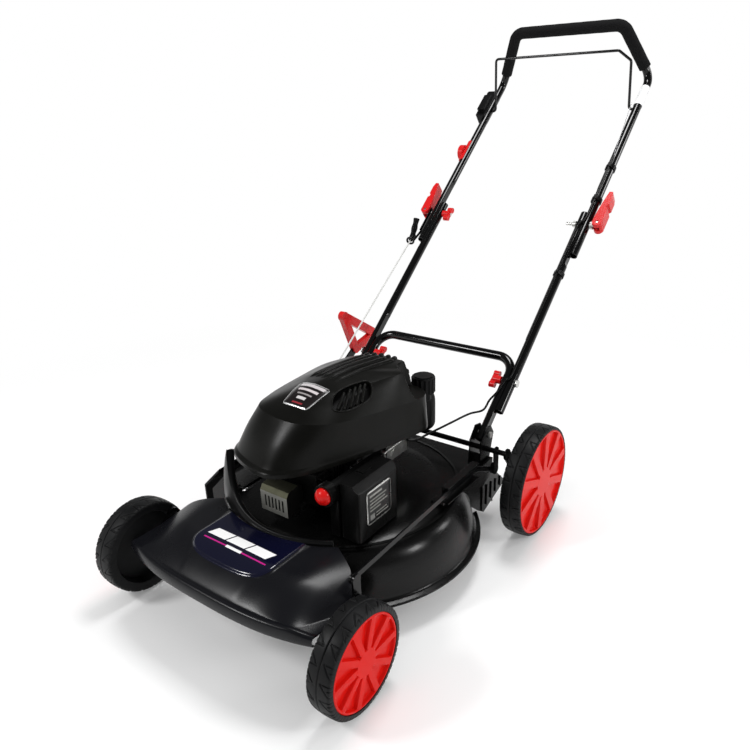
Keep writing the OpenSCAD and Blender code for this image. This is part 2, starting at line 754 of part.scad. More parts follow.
module engine_block() {
    color([0.08, 0.08, 0.08]) difference() {
        union() {
            translate([0, 0, deck_z]) cylinder(h = 12, r = 100);
            translate([0, 0, deck_z + 11]) cylinder(h = block_top - deck_z - 11, r = block_r);
            box([-barrel_x, head_back, 200], [barrel_x, 0, 262]);
            for (y = [-108:8:-80]) box([-barrel_x - 12, y, 194], [barrel_x + 12, y + 3, block_top]);
            // Shelves that carry the shroud, the tank and the controls.
            box([-lug.x - 9, lug.y - 12, 244], [lug.x + 9, lug.y + 12, block_top]);
            box([-60, 60, 250], [92, tank_front, block_top - 2]);
            box([0, -72, 224], [62, -38, 260]);
            // Oil filler neck.
            translate([oil_at.x, oil_at.y, 182]) cylinder(h = oil_z - 182, r = 13);
            box([oil_at.x, oil_at.y - 6, 186], [-60, oil_at.y + 6, 226]);
        }
        translate([0, 0, 100]) cylinder(h = 300, r = shaft_r + fit);
        translate([oil_at.x, oil_at.y, 200]) cylinder(h = 200, r = 9);
        for (a = engine_bolts) rotate([0, 0, a]) translate([engine_bolt_ring, 0, deck_z - 1])
            cylinder(h = 20, r = bolt_r + fit);
        translate([0, 0, 198]) cylinder(h = 30, r = 60);
        difference() {
            translate([0, 0, deck_z - 1]) cylinder(h = 10, r = 80);
            translate([0, 0, deck_z - 2]) cylinder(h = 12, r = 30);
        }
    }
}

oil_at = [-112, 24];
oil_z = 262;
module oil_cap() {
    color([0.05, 0.05, 0.05]) translate([oil_at.x, oil_at.y, 0]) {
        translate([0, 0, oil_z + gap]) cylinder(h = 10, r = 17);
        translate([0, 0, oil_z - 12]) cylinder(h = 14, r = 9 - fit);
        translate([-15, -3, oil_z + gap + 9]) cube([30, 6, 8]);
        translate([0, 0, 206]) cylinder(h = 50, r = 2);
    }
}

module cylinder_head() {
    color([0.12, 0.12, 0.12]) difference() {
        union() {
            box([-barrel_x, head_front, 196], [barrel_x, head_back, 264]);
            for (z = [202:9:256]) box([-barrel_x - 12, head_front + 4, z],
                [barrel_x + 12, head_back, z + 3]);
            xbar(-barrel_x - 18, -barrel_x + 2, plug_at, 12);
        }
        xbar(-barrel_x - 20, -barrel_x + 4, plug_at, 7 + fit);
    }
}

plug_at = [-128, 232];
module spark_plug() {
    color([0.85, 0.85, 0.82]) {
        xbar(-barrel_x - 19, -barrel_x + 3, plug_at, 7);
        xbar(-barrel_x - 24, -barrel_x - 18.3, plug_at, 9);
        xbar(-barrel_x - 46, -barrel_x - 20, plug_at, 5);
    }
    color([0.04, 0.04, 0.04]) difference() {
        xbar(-barrel_x - 62, -barrel_x - 30, plug_at, 9);
        xbar(-barrel_x - 47, -barrel_x - 29, plug_at, 5 + seat);
    }
}

guard_lo = [-50, -205, 193];
guard_hi = [20, head_front, 246];
guard_t = 1.5;
module muffler() {
    color([0.3, 0.3, 0.3]) {
        box(guard_lo + [6, 7, 6], [guard_hi.x - 6, head_front - 9, guard_hi.z - 7]);
        translate([-15, head_front - 10, 222]) rotate([-90, 0, 0]) cylinder(h = 10, r = 10);
    }
}

module muffler_guard() {
    slope = [[guard_lo.y, guard_lo.z], [guard_lo.y, guard_hi.z - 10], [guard_lo.y + 12, guard_hi.z],
        [guard_hi.y, guard_hi.z + 4], [guard_hi.y, guard_lo.z]];
    color([0.62, 0.62, 0.52]) difference() {
        side_plate(guard_lo.x, guard_hi.x, slope);
        side_plate(guard_lo.x + guard_t, guard_hi.x - guard_t, [
            [guard_lo.y + guard_t, guard_lo.z - 1], [guard_lo.y + guard_t, guard_hi.z - 10.6],
            [guard_lo.y + 12.6, guard_hi.z - guard_t], [guard_hi.y + 1, guard_hi.z + 2.5],
            [guard_hi.y + 1, guard_lo.z - 1]]);
        for (i = [0:5]) box([guard_lo.x + 11 + 9 * i, guard_lo.y - 1, guard_lo.z + 9],
            [guard_lo.x + 15 + 9 * i, guard_lo.y + guard_t + 1, guard_hi.z - 18]);
    }
}

air_x = 102;
air_split = 122;
air_hi = [168, -30, 290];
air_lo = [air_x, -175, 173];
primer_at = [103, 265];
module carburettor() {
    color([0.7, 0.7, 0.72]) {
        box([67.2, -70, 226], [air_x, -40, 258]);
        translate([82, -55, 200]) cylinder(h = 26, r = 15);
        translate([84, -55, 257]) cylinder(h = 12, r = 8);
    }
}

module air_box() {
    color([0.07, 0.07, 0.07]) difference() {
        union() {
            box(air_lo, [air_split, air_hi.y, air_hi.z - 6]);
            translate([primer_at.x, air_lo.y - 18, primer_at.y]) rotate([-90, 0, 0])
                cylinder(h = 20, r = primer_r + 5);
        }
        translate([primer_at.x, air_lo.y - 19, primer_at.y]) rotate([-90, 0, 0])
            cylinder(h = 17, r = primer_r + gap);
        box([air_x + 3, air_lo.y + 6, air_lo.z + 4], [air_split + 1, air_hi.y - 4, 236]);
    }
}

// Rubber primer bulb: a dome on a short skirt that slides in its seat.
module primer_bulb() {
    color([0.75, 0.05, 0.05]) translate([primer_at.x, air_lo.y - 18, primer_at.y])
        rotate([90, 0, 0]) difference() {
            union() {
                translate([0, 0, -9]) cylinder(h = 11, r = primer_r);
                intersection() {
                    translate([0, 0, -3]) sphere(r = primer_r + 0.5);
                    translate([0, 0, 2]) cylinder(h = 30, r = primer_r);
                }
            }
            translate([0, 0, -10]) cylinder(h = 12, r = primer_r - 3);
        }
}

module air_filter() {
    color([0.35, 0.33, 0.25]) box([air_split + gap, air_lo.y + 16, air_lo.z + 14],
        [air_split + 26, air_hi.y - 16, air_hi.z - 22]);
}

module air_cover() {
    color([0.06, 0.06, 0.06]) {
        difference() {
            soft_box([air_split, air_lo.y, air_lo.z], air_hi, 9);
            box([air_split - 1, air_lo.y + 3, air_lo.z + 3],
                [air_hi.x - 3, air_hi.y - 3, air_hi.z - 3]);
            translate([air_hi.x - 14, air_lo.y - 1, air_hi.z]) rotate([0, 45, 0])
                cube([30, 300, 30]);
            box([air_split - 1, air_lo.y - 1, 0], [air_split, air_hi.y + 1, 400]);
        }
        cross_plate(air_lo.y + 3, air_hi.y - 3, [[air_hi.x - 17, air_hi.z - 1],
            [air_hi.x - 14, air_hi.z - 0.2], [air_hi.x - 1, air_hi.z - 13.6],
            [air_hi.x - 1, air_hi.z - 18]]);
        // Bare plate on the side and the catch on top.
        box([air_hi.x - 0.5, -143, 199], [air_hi.x + 0.8, -65, 270]);
        box([air_split + 4, -118, air_hi.z - 1], [air_split + 20, -84, air_hi.z + 4]);
    }
}

tank_front = 131;
tank_lo = [-84, 131, 252];
tank_hi = [136, 192, 343];
fuel_at = [101, 149];
fuel_neck_z = 353;
module fuel_tank() {
    color([0.07, 0.07, 0.07]) difference() {
        union() {
            soft_box(tank_lo, tank_hi, 16);
            translate([fuel_at.x, fuel_at.y, tank_hi.z - 2])
                cylinder(h = fuel_neck_z - tank_hi.z + 2, r = 17);
        }
        soft_box(tank_lo + [3, 3, 3], tank_hi - [3, 3, 3], 13);
        translate([fuel_at.x, fuel_at.y, 320]) cylinder(h = 60, r = 14);
    }
}

module fuel_cap() {
    color([0.05, 0.05, 0.05]) translate([fuel_at.x, fuel_at.y, 0]) difference() {
        union() {
            translate([0, 0, fuel_neck_z - 7]) cylinder(h = 37, r = fuel_cap_r - 2);
            for (a = [0:22.5:359]) rotate([0, 0, a]) translate([fuel_cap_r - 3, 0, fuel_neck_z - 4])
                cylinder(h = 31, r = 3);
            translate([0, 0, fuel_neck_z + 29]) cylinder(h = 3, r = fuel_cap_r - 6);
        }
        translate([0, 0, fuel_neck_z - 8]) cylinder(h = 8 + gap, r = 17 + gap);
    }
}

// Outline of the shroud at its rim, at its crease and round its top, from the front round
// the right side to the back and round the left side.
rim = [[-10, -243], [42, -222], [80, -160], [116, -60], [138, 25], [148, 88], [112, 119],
    [20, 126], [-92, 122], [-139, 82], [-147, 0], [-142, -105], [-112, -205]];
crease = [[-12, -166], [50, -156], [88, -112], [108, -45], [122, 25], [126, 84], [96, 110],
    [18, 120], [-82, 114], [-114, 82], [-118, 0], [-108, -95], [-74, -154]];
top_edge = [[-4, -84], [34, -76], [46, -54], [50, -10], [49, 40], [45, 88], [32, 102],
    [-6, 106], [-42, 102], [-60, 82], [-64, 10], [-58, -42], [-38, -74]];
rim_lift = 8;
k_ring = 4;
function level(a, b, t, z, s = 1) = let (c = [2, -20]) smooth_ring([for (i = [0:len(a) - 1])
    let (p = a[i] + (b[i] - a[i]) * t, q = c + (p - c) * s) [q.x, q.y, z]], k_ring);
function sink(ring, t) = [for (p = ring) p * 1 - [p.x * t / 110, (p.y + 20) * t / 140, t]];
shroud_out = [level(rim, crease, 0, shroud_z), level(rim, crease, 0, shroud_z + rim_lift),
    level(rim, crease, 0.12, shroud_z + rim_lift + 5),
    level(rim, crease, 0.5, (shroud_z + crease_z) / 2 + 6), level(rim, crease, 1, crease_z),
    level(crease, top_edge, 0.5, (crease_z + shroud_top) / 2 + 2),
    level(crease, top_edge, 1, shroud_top - 4), level(crease, top_edge, 1, shroud_top, 0.55),
    level(crease, top_edge, 1, shroud_top + 1, 0.05)];

function inside_of(ring) = sink(ring, shroud_t);
module shroud_solid() {
    ring_stack(shroud_out);
}

// Closed solid through stacked rings.
module ring_stack(rings) {
    n = len(rings[0]);
    m = len(rings);
    faces = [for (i = [0:m - 2], j = [0:n - 1]) for (f = [0, 1])
        let (a = i * n + j, b = i * n + (j + 1) % n, c = a + n, d = b + n)
        f == 0 ? [a, c, b] : [b, c, d]];
    polyhedron([for (ring = rings) each ring],
        concat(faces, [[for (j = [0:n - 1]) j], [for (j = [n - 1:-1:0]) (m - 1) * n + j]]));
}

module engine_shroud() {
    legs = [[lug.x, lug.y], [-lug.x, lug.y], [34, -128], [-34, -128]];
    color([0.09, 0.09, 0.08]) difference() {
        union() {
            difference() {
                shroud_solid();
                ring_stack(concat([[for (p = inside_of(shroud_out[0])) [p.x, p.y, shroud_z - 20]]],
                    [for (i = [2:len(shroud_out) - 1]) inside_of(shroud_out[i])]));
            }
            intersection() {
                shroud_solid();
                for (p = legs) translate([p.x, p.y, 280]) cylinder(h = 200, r = 6, $fn = 16);
            }
            for (p = legs) translate([p.x, p.y, p.y < 0 ? 264 : block_top])
                cylinder(h = shroud_z + 4 - (p.y < 0 ? 264 : block_top), r = 6, $fn = 16);
            for (i = [-2:2]) translate([8 + 13 * i, 0, 0])
                box([-2.5, -66 + 6 * abs(i), shroud_top - 8], [2.5, 92, shroud_top + 4]);
        }
        // Slanted vents on the right slope.
        for (i = [0:6]) translate([70, -84 + 13 * i, 410]) rotate([0, 27, -14])
            cube([32, 5, 40], center = true);
    }
}

module control_linkage() {
    color([0.75, 0.75, 0.75]) {
        box([lug.x + 9, 12, 236], [lug.x + 12, 84, 284]);
        xbar(lug.x + 9, lug.x + 20, [60, 270], 4);
        strap(lug.x + 12, lug.x + 14, [60, 270], [30, 248], 10);
        bar([lug.x + 17, 60, 270], [lug.x + 17, -4, 268], 2);
        bar([lug.x + 17, -4, 268], [lug.x + 17, 2, 214], 2);
        translate([lug.x + 17, -4, 268]) sphere(r = 2.8);
    }
}

// ---------------------------------------------------------------- shaft and blade

shaft_low = blade_z + blade_t + 0.5;
module crankshaft() {
    color([0.7, 0.7, 0.72]) difference() {
        union() {
            translate([0, 0, shaft_low]) cylinder(h = 252, r = shaft_r);
            translate([0, 0, 200]) cylinder(h = 26, r = 38);
            translate([0, 0, 334]) cylinder(h = 10, r = 15, $fn = 6);
        }
        translate([0, 0, shaft_low - 1]) cylinder(h = 42, r = 5 + seat);
    }
}

module flywheel() {
    color([0.5, 0.5, 0.5]) difference() {
        union() {
            translate([0, 0, 284]) cylinder(h = 10, r = 82);
            translate([0, 0, 284]) cylinder(h = 48, r = 30);
            for (a = [0:20:359]) rotate([0, 0, a]) box([46, -1.5, 293], [82, 1.5, 320]);
        }
        translate([0, 0, 280]) cylinder(h = 60, r = shaft_r + seat);
    }
}

module blade_adapter() {
    color([0.35, 0.35, 0.36]) difference() {
        union() {
            translate([0, 0, blade_z + blade_t]) cylinder(h = 30, r = 20);
            translate([0, 0, blade_z + blade_t]) cylinder(h = 5, r = 34);
        }
        translate([0, 0, shaft_low]) cylinder(h = 60, r = shaft_r + seat);
        translate([0, 0, 0]) cylinder(h = 200, r = 5 + seat);
    }
}

module blade() {
    color([0.3, 0.3, 0.32]) difference() {
        union() {
            translate([0, 0, blade_z]) intersection() {
                cylinder(h = blade_t, r = blade_r);
                translate([-blade_r, -blade_w / 2, 0]) cube([2 * blade_r, blade_w, blade_t]);
            }
            for (a = [0, 180]) rotate([0, 0, a]) translate([blade_r - 92, blade_w / 2 - 18, blade_z])
                rotate([24, 0, 0]) cube([78, 18, blade_t]);
        }
        cylinder(h = 200, r = 5 + seat);
    }
}

module blade_bolt() {
    color([0.6, 0.6, 0.6]) {
        translate([0, 0, blade_z - 8]) cylinder(h = 8, r = 9, $fn = 6);
        translate([0, 0, blade_z - 1]) cylinder(h = 40, r = 5);
    }
}

// ---------------------------------------------------------------- axles and height adjustment

module front_crank() {
    color([0.08, 0.08, 0.08]) {
        xbar(-arm_x_front - strap_t / 2, max(arm_x_front, link_x + 5) + strap_t / 2, front_pivot,
            axle_r);
        both_sides() {
            strap(arm_x_front, arm_x_front + strap_t, front_pivot, front_axle, strap_w);
            xbar(arm_x_front, front_track - cover_t - 4, front_axle, axle_r);
        }
        strap(link_x + 5, link_x + 9, front_pivot, front_pin, strap_w - 4);
        xbar(link_x - link_t, link_x + 9, front_pin, pin_r);
    }
}

module rear_crank() {
    color([0.08, 0.08, 0.08]) {
        xbar(-arm_x_rear - strap_t / 2, max(arm_x_rear, link_x + 5) + strap_t / 2, rear_pivot,
            axle_r);
        xbar(-lever_x - lever_t, -arm_x_rear - 1, rear_pivot, lever_pin_r);
        both_sides() {
            strap(arm_x_rear, arm_x_rear + strap_t, rear_pivot, rear_axle, strap_w);
            xbar(arm_x_rear, rear_track - cover_t - 4, rear_axle, axle_r);
        }
        strap(link_x + 5, link_x + 9, rear_pivot, rear_pin, strap_w - 4);
        xbar(link_x - link_t, link_x + 9, rear_pin, pin_r);
    }
}

// The link keeps its direction; its rear eye is a slot.
module link_rod() {
    x0 = link_x - link_t / 2;
    x1 = link_x + link_t / 2;
    mid_a = [25, 198];
    mid_b = [150, 197];
    color([0.7, 0.7, 0.7]) difference() {
        union() {
            strap(x0, x1, front_pin, mid_a, 11);
            strap(x0, x1, mid_a, mid_b, 11);
            strap(x0, x1, mid_b, rear_pin, 11);
            xbar(x0, x1, front_pin, 9);
            strap(x0, x1, rear_pin - [0, 1], rear_pin + [0, link_slot], 18);
        }
        xbar(x0 - 1, x1 + 1, front_pin, pin_r + fit);
        xbar(x0 - 1, x1 + 1, rear_pin, pin_r + fit);
        xbar(x0 - 1, x1 + 1, rear_pin + [0, link_slot], pin_r + fit);
        box([x0 - 1, rear_pin.x - pin_r - fit, rear_pin.y],
            [x1 + 1, rear_pin.x + pin_r + fit, rear_pin.y + link_slot]);
    }
}

rail_in = link_x - 8;
rail_end = 150;
module link_channel() {
    color([0.09, 0.09, 0.09]) {
        box([rail_in, 25, deck_z], [rail_in + 2.5, 52, 214]);
        box([rail_in, 25, 177], [rail_in + 2.5, rail_end, 214]);
        for (z = [177, 211.5]) box([rail_in, 25, z], [rail_in + 15, rail_end, z + 2.5]);
        box([196, 25, deck_z], [rail_in + 1, 52, deck_z + 3]);
        box([196, rail_end - 8, box_top], [rail_in + 1, rail_end, 180]);
    }
}

lever_x = arm_x_rear + strap_t + 2;
lever_t = 4;
lever_pin_r = 5;
lever_dir = [cos(31.5), sin(31.5)];
lever_end = rear_pivot + lever_l * lever_dir;
module height_lever() {
    color([0.1, 0.1, 0.1]) difference() {
        union() {
            strap(-lever_x - lever_t, -lever_x, rear_pivot, lever_end, 22);
            xbar(-lever_x - lever_t, -lever_x + 2, rear_pivot, 14);
        }
        xbar(-lever_x - 20, -lever_x + 20, rear_pivot, lever_pin_r + seat);
    }
}

grip_lo = -lever_x - lever_t / 2 - 7.5;
grip_hi = grip_lo + 15;
grip_a = lever_end + [-48, 100];
grip_b = lever_end + [84, 16];
grip_c = lever_end - 6 * lever_dir;
module lever_grip() {
    color([0.75, 0.05, 0.05]) difference() {
        union() {
            strap(grip_lo, grip_hi, grip_a, grip_b, 23);
            strap(grip_lo, grip_hi, grip_b, grip_c, 21);
            strap(grip_lo, grip_hi, grip_c, grip_a, 21);
        }
        strap(-lever_x - lever_t - seat, -lever_x + seat, lever_end - 60 * lever_dir, lever_end,
            22 + 2 * seat);
    }
}

// ---------------------------------------------------------------- wheels

// Black wheel with its tyre band, hub at the origin, outer face at x = 0.
module wheel(r, band) {
    in_r = r - band;
    color([0.04, 0.04, 0.04]) rotate([0, 90, 0]) translate([0, 0, -wheel_w]) difference() {
        rotate_extrude($fn = 96) polygon([[axle_r + fit, 0], [16, 0], [16, 20], [in_r - 12, 24],
            [in_r - 8, 2], [r - 6, 0], [r - 1.5, 5], [r, wheel_w / 2], [r - 1.5, wheel_w - 5],
            [r - 5, wheel_w - 0.8], [in_r + seat, wheel_w], [in_r + seat, wheel_w - cover_t - 1],
            [in_r - 8, wheel_w - cover_t - 1], [in_r - 10, 30], [16, 28],
            [16, wheel_w - cover_t - 1], [axle_r + fit, wheel_w - cover_t - 1]]);
    }
}

// Red cover with even spokes between recessed pockets; turn is the first pocket's angle.
spoke_share = 0.16;
module wheel_cover(r, turn) {
    hub = r * 0.25 + 4;
    edge = r - 5;
    half = 180 / spokes;
    function lean(q) = half - asin(spoke_share * r / 2 / q);
    color([0.78, 0.05, 0.04]) rotate([0, 90, 0]) translate([0, 0, -cover_t - 1]) difference() {
        translate([0, 0, seat]) cylinder(h = cover_t + 1 - seat, r = r);
        for (i = [0:spokes - 1]) rotate([0, 0, turn + 360 * i / spokes]) translate([0, 0, 3])
            linear_extrude(cover_t) polygon([for (k = [-1, 1], q = k < 0 ? [hub, r * 0.45, edge]
                : [edge, r * 0.45, hub]) polar(q, k * lean(q))]);
    }
}
function polar(q, a) = [q * cos(a), q * sin(a)];

module place_wheel(side, track, axle) {
    mirror([side < 0 ? 1 : 0, 0, 0]) translate([track, axle.x, axle.y]) children();
}

module wheel_front_left() {
    place_wheel(-1, front_track, front_axle) wheel(front_wheel_r, front_band);
}

module wheel_front_right() {
    place_wheel(1, front_track, front_axle) wheel(front_wheel_r, front_band);
}

module wheel_rear_left() {
    place_wheel(-1, rear_track, rear_axle) wheel(rear_wheel_r, rear_band);
}

module wheel_rear_right() {
    place_wheel(1, rear_track, rear_axle) wheel(rear_wheel_r, rear_band);
}

module cover_front_left() {
    place_wheel(-1, front_track, front_axle) wheel_cover(front_wheel_r - front_band, 18);
}

module cover_front_right() {
    place_wheel(1, front_track, front_axle) wheel_cover(front_wheel_r - front_band, 18);
}

module cover_rear_left() {
    place_wheel(-1, rear_track, rear_axle) wheel_cover(rear_wheel_r - rear_band, 32);
}

module cover_rear_right() {
    place_wheel(1, rear_track, rear_axle) wheel_cover(rear_wheel_r - rear_band, 32);
}

// ---------------------------------------------------------------- starter rope and cable

// Arm from the left clamp out to the spiral eye that holds the starter grip.
module rope_guide() {
    plate_x = -(top_x + tube_r + gap + 3.4);
    color([0.1, 0.1, 0.1]) {
        difference() {
            union() {
                on_handle(plate_x, joint_high - 70) box([-3, 0, -9], [0, 82, 9]);
                on_handle(plate_x, joint_high) rotate([0, -90, 0]) cylinder(h = 3, r = 12);
            }
            xbar(-300, 0, joint_at(joint_high), bolt_r + seat);
        }
        bar(hp(plate_x - 1.5, joint_high - 66), rope_eye + [eye_r, 0, 0], 3.2);
        translate(rope_eye) rotate([0, acos(rope_dir.z), atan2(rope_dir.y, rope_dir.x)])
            rotate_extrude() translate([eye_r, 0]) circle(eye_wire_r);
    }
}

grip_axis = unit([0, 27, 55]);
rope_travel = 250;
module starter_grip() {
    c = rope_eye + rope_dir * 30 + [0, 0, 10];
    color([0.06, 0.06, 0.06]) {
        bar(c - grip_axis * 19, c + grip_axis * 38, 9);
        bar(rope_eye + rope_dir * (eye_wire_r + gap), rope_eye + rope_dir * 28, 8);
    }
    color([0.85, 0.85, 0.85])
        bar(rope_eye + rope_dir * 8, rope_eye - rope_dir * (rope_travel + 25), rope_core_r);
}

module starter_rope_upper() {
    color([0.85, 0.85, 0.85]) difference() {
        bar(rope_eye, rope_split, rope_r);
        bar(rope_eye + rope_dir * 1, rope_split - rope_dir * 1, rope_core_r + 0.15);
    }
}

module starter_rope_lower() {
    color([0.85, 0.85, 0.85]) bar(rope_engine, rope_split - rope_dir * 1, rope_r);
}

cable_low_pts = [[104, 80, 262], [104, 112, 247], [112, 160, 246], [128, 210, 251],
    [150, 262, 260], hp(171, 408, 4), hp(180, 432, 12.5), hp(190, 456, cable_h + 0.3),
    hp(196.4, 490, cable_h)];
cable_mid_pts = [hp(203.2, 494, cable_h), hp(206.5, 525, cable_h), hp(207, 700, cable_h),
    hp(207, 830, cable_h), hp(207, 935, cable_h), hp(210.6, 964, cable_h)];
cable_top_pts = [hp(217.4, 968, cable_h), hp(221, 995, cable_h), hp(221, 1060, cable_h),
    hp(221, 1120, cable_h), hp(221, 1190, cable_h)];

module cable_lower() {
    color([0.04, 0.04, 0.04]) cord(smooth(cable_low_pts, 3), cable_r, 8);
}

module cable_middle() {
    color([0.04, 0.04, 0.04]) cord(smooth(cable_mid_pts, 2), cable_r, 8);
}

module cable_upper() {
    color([0.04, 0.04, 0.04]) cord(smooth(cable_top_pts, 2), cable_r, 8);
    color([0.6, 0.6, 0.6]) bar(hp(221, 1191, cable_h), hp(213, bail_s - 6, 26), 0.8);
}

deck_shell();
front_apron();
handle_brackets();
lower_handle();
deck_fasteners();
link_channel();
rear_flap();
chute_flap();
engine_block();
cylinder_head();
spark_plug();
muffler();
muffler_guard();
carburettor();
air_box();
air_filter();
air_cover();
fuel_tank();
fuel_cap();
engine_shroud();
oil_cap();
primer_bulb();
control_linkage();
crankshaft();
flywheel();
blade_adapter();
blade();
blade_bolt();
front_crank();
rear_crank();
height_lever();
lever_grip();
link_rod();
wheel_front_left();
wheel_front_right();
wheel_rear_left();
wheel_rear_right();
cover_front_left();
cover_front_right();
cover_rear_left();
cover_rear_right();
mid_handle();
upper_handle();
foam_grip();
bail();
switch_box();
clamp_bolts();
clamp_lever_left();
clamp_lever_right();
knob_lower_left();
knob_lower_right();
knob_upper_left();
rope_guide();
starter_grip();
starter_rope_lower();
starter_rope_upper();
cable_lower();
cable_middle();
cable_upper();
handle_trim();
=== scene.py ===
"""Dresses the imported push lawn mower: smooth shells, tubes, treads, plates and finishes.

Shapes are written in mm in the part's own frame and turn to metres on their way into a mesh:
X across, +Y towards the operator, +Z up, with the origin on the ground below the blade shaft.
"""

import json
import logging
import math
from contextlib import contextmanager
from dataclasses import dataclass
from enum import Enum
from functools import lru_cache
from typing import Callable, Iterator, Sequence

import bmesh
import bpy
import numpy as np
from mathutils import Matrix, Vector


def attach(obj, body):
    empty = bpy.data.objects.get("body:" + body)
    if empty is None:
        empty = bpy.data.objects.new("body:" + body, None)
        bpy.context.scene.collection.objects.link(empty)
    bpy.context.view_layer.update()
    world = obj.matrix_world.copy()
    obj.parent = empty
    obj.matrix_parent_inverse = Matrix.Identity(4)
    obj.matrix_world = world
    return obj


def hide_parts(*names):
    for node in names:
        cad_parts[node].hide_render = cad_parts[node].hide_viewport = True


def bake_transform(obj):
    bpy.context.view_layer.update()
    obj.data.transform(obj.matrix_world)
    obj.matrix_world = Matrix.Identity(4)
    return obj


LOG = logging.getLogger("mower")
MM = 0.001
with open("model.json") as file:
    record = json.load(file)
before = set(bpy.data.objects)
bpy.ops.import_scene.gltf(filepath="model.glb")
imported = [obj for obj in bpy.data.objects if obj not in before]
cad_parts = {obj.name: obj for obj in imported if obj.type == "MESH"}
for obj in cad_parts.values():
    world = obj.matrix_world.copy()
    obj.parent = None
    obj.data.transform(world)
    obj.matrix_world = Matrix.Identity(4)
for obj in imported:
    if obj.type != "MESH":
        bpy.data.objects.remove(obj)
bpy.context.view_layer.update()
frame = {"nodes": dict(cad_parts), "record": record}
BODY_OF = {node: body for body, nodes in frame["record"]["behaviour"]["bodies"].items()
           for node in nodes}
TURN = 2 * math.pi
ArrayLike = Sequence[float]
Colour = tuple[float, float, float]


class Side(Enum):
    """The mower's two sides, as a factor on X."""

    LEFT = -1
    RIGHT = 1


# ---------------------------------------------------------------- shader wiring


class Graph:
    """The node tree of one finish or of the world, with one method that makes any node."""

    def __init__(self, name: str, world: bool = False) -> None:
        """Starts an empty tree with its shader on its output.

        Args:
            name: the finish's name.
            world: the tree belongs to a world and not to a material.
        """
        self.owner = (bpy.data.worlds if world else bpy.data.materials).new(name)
        self.owner.use_nodes = True
        self.tree = self.owner.node_tree
        self.tree.nodes.clear()
        self.shader = self.node("ShaderNodeBackground" if world else "ShaderNodeBsdfPrincipled")
        self.output = self.node("ShaderNodeOutputWorld" if world else "ShaderNodeOutputMaterial")
        self.tree.links.new(self.shader.outputs[0], self.output.inputs["Surface"])

    def node(self, kind: str, settings: dict | None = None, **values: object) -> bpy.types.Node:
        """Makes a node.

        Args:
            kind: the node's type.
            settings: its own settings, set first; "stops" holds a ramp's stops.
            values: socket name, with spaces as underscores, to a number, colour or wire.

        Returns:
            The node.
        """
        made = self.tree.nodes.new(kind)
        for key, value in (settings or {}).items():
            if key == "stops":
                ramp = made.color_ramp
                while len(ramp.elements) < len(value):
                    ramp.elements.new(0.5)
                for element, (place, colour) in zip(ramp.elements, value):
                    element.position = place
                    element.color = (*colour, 1.0)
            else:
                setattr(made, key, value)
        for key, value in values.items():
            self.feed(self.socket(made, key), value)
        return made

    @staticmethod
    def socket(node: bpy.types.Node, key: str) -> bpy.types.NodeSocket:
        """Finds an enabled input by its name, or by its number for a key such as _1."""
        if key[1:].isdigit() and key[0] == "_":
            return node.inputs[int(key[1:])]
        name = key.replace("_", " ")
        return next(s for s in node.inputs if s.name == name and s.enabled)

    def feed(self, socket: bpy.types.NodeSocket, value: object) -> None:
        """Links a wire to a socket, or sets its value."""
        if isinstance(value, Wire):
            self.tree.links.new(value.out, socket)
        else:
            socket.default_value = value

    def place(self, scale: ArrayLike = (1, 1, 1), turn: ArrayLike = (0, 0, 0),
              shift: ArrayLike = (0, 0, 0), uv: bool = False) -> "Wire":
        """Coordinates of a pattern, from the piece's own place or its UV map."""
        source = self.node("ShaderNodeTexCoord").outputs["UV" if uv else "Object"]
        mapped = self.node("ShaderNodeMapping", None, Vector=Wire(self, source),
                           Location=shift, Rotation=turn, Scale=scale)
        return Wire(self, mapped.outputs[0])

    def noise(self, scale: float, detail: float = 3.0, rough: float = 0.55,
              at: "Wire | None" = None) -> "Wire":
        """Soft random pattern from 0 to 1, with its scale in cells per metre."""
        made = self.node("ShaderNodeTexNoise", None, Vector=at or self.place(), Scale=scale,
                         Detail=detail, Roughness=rough)
        return Wire(self, made.outputs["Fac"])

    def cells(self, scale: float, at: "Wire | None" = None, feature: str = "F1") -> "Wire":
        """Distance pattern of random cells."""
        made = self.node("ShaderNodeTexVoronoi", {"feature": feature},
                         Vector=at or self.place(), Scale=scale)
        return Wire(self, made.outputs["Distance"])

    def axes(self, at: "Wire") -> tuple["Wire", "Wire", "Wire"]:
        """Splits coordinates in three numbers."""
        made = self.node("ShaderNodeSeparateXYZ", None, Vector=at)
        return tuple(Wire(self, out) for out in made.outputs)

    def rays(self) -> tuple["Wire", "Wire"]:
        """Masks of the camera's rays, and of all rays that show or mirror what they meet."""
        path = self.node("ShaderNodeLightPath")
        camera, glossy, through = (Wire(self, path.outputs[f"Is {kind} Ray"])
                                   for kind in ("Camera", "Glossy", "Transmission"))
        return camera, camera.most(glossy).most(through)

    def blend(self, mask: "Wire | float", low: object, high: object) -> "Wire":
        """Mixes two colours by a mask."""
        made = self.node("ShaderNodeMix", {"data_type": "RGBA"})
        sockets = [s for s in made.inputs if s.enabled]
        for socket, value in zip(sockets, (mask, low, high)):
            if not isinstance(value, (Wire, float, int)):
                value = (*value[:3], 1.0)
            self.feed(socket, value)
        return Wire(self, next(s for s in made.outputs if s.enabled))

    def relief(self, height: "Wire", depth: float) -> None:
        """Bumps the surface by a height pattern.

        Args:
            height: the pattern, from 0 to 1.
            depth: metres between 0 and 1.
        """
        bump = self.node("ShaderNodeBump", None, Height=height, Distance=depth, Strength=1.0)
        self.tree.links.new(bump.outputs[0], self.shader.inputs["Normal"])

    def finish(self, **values: object) -> bpy.types.Material | bpy.types.World:
        """Sets the shader's sockets and returns what the tree belongs to."""
        for key, value in values.items():
            if isinstance(value, tuple) and len(value) == 3:
                value = (*value, 1.0)
            self.feed(self.socket(self.shader, key), value)
        return self.owner


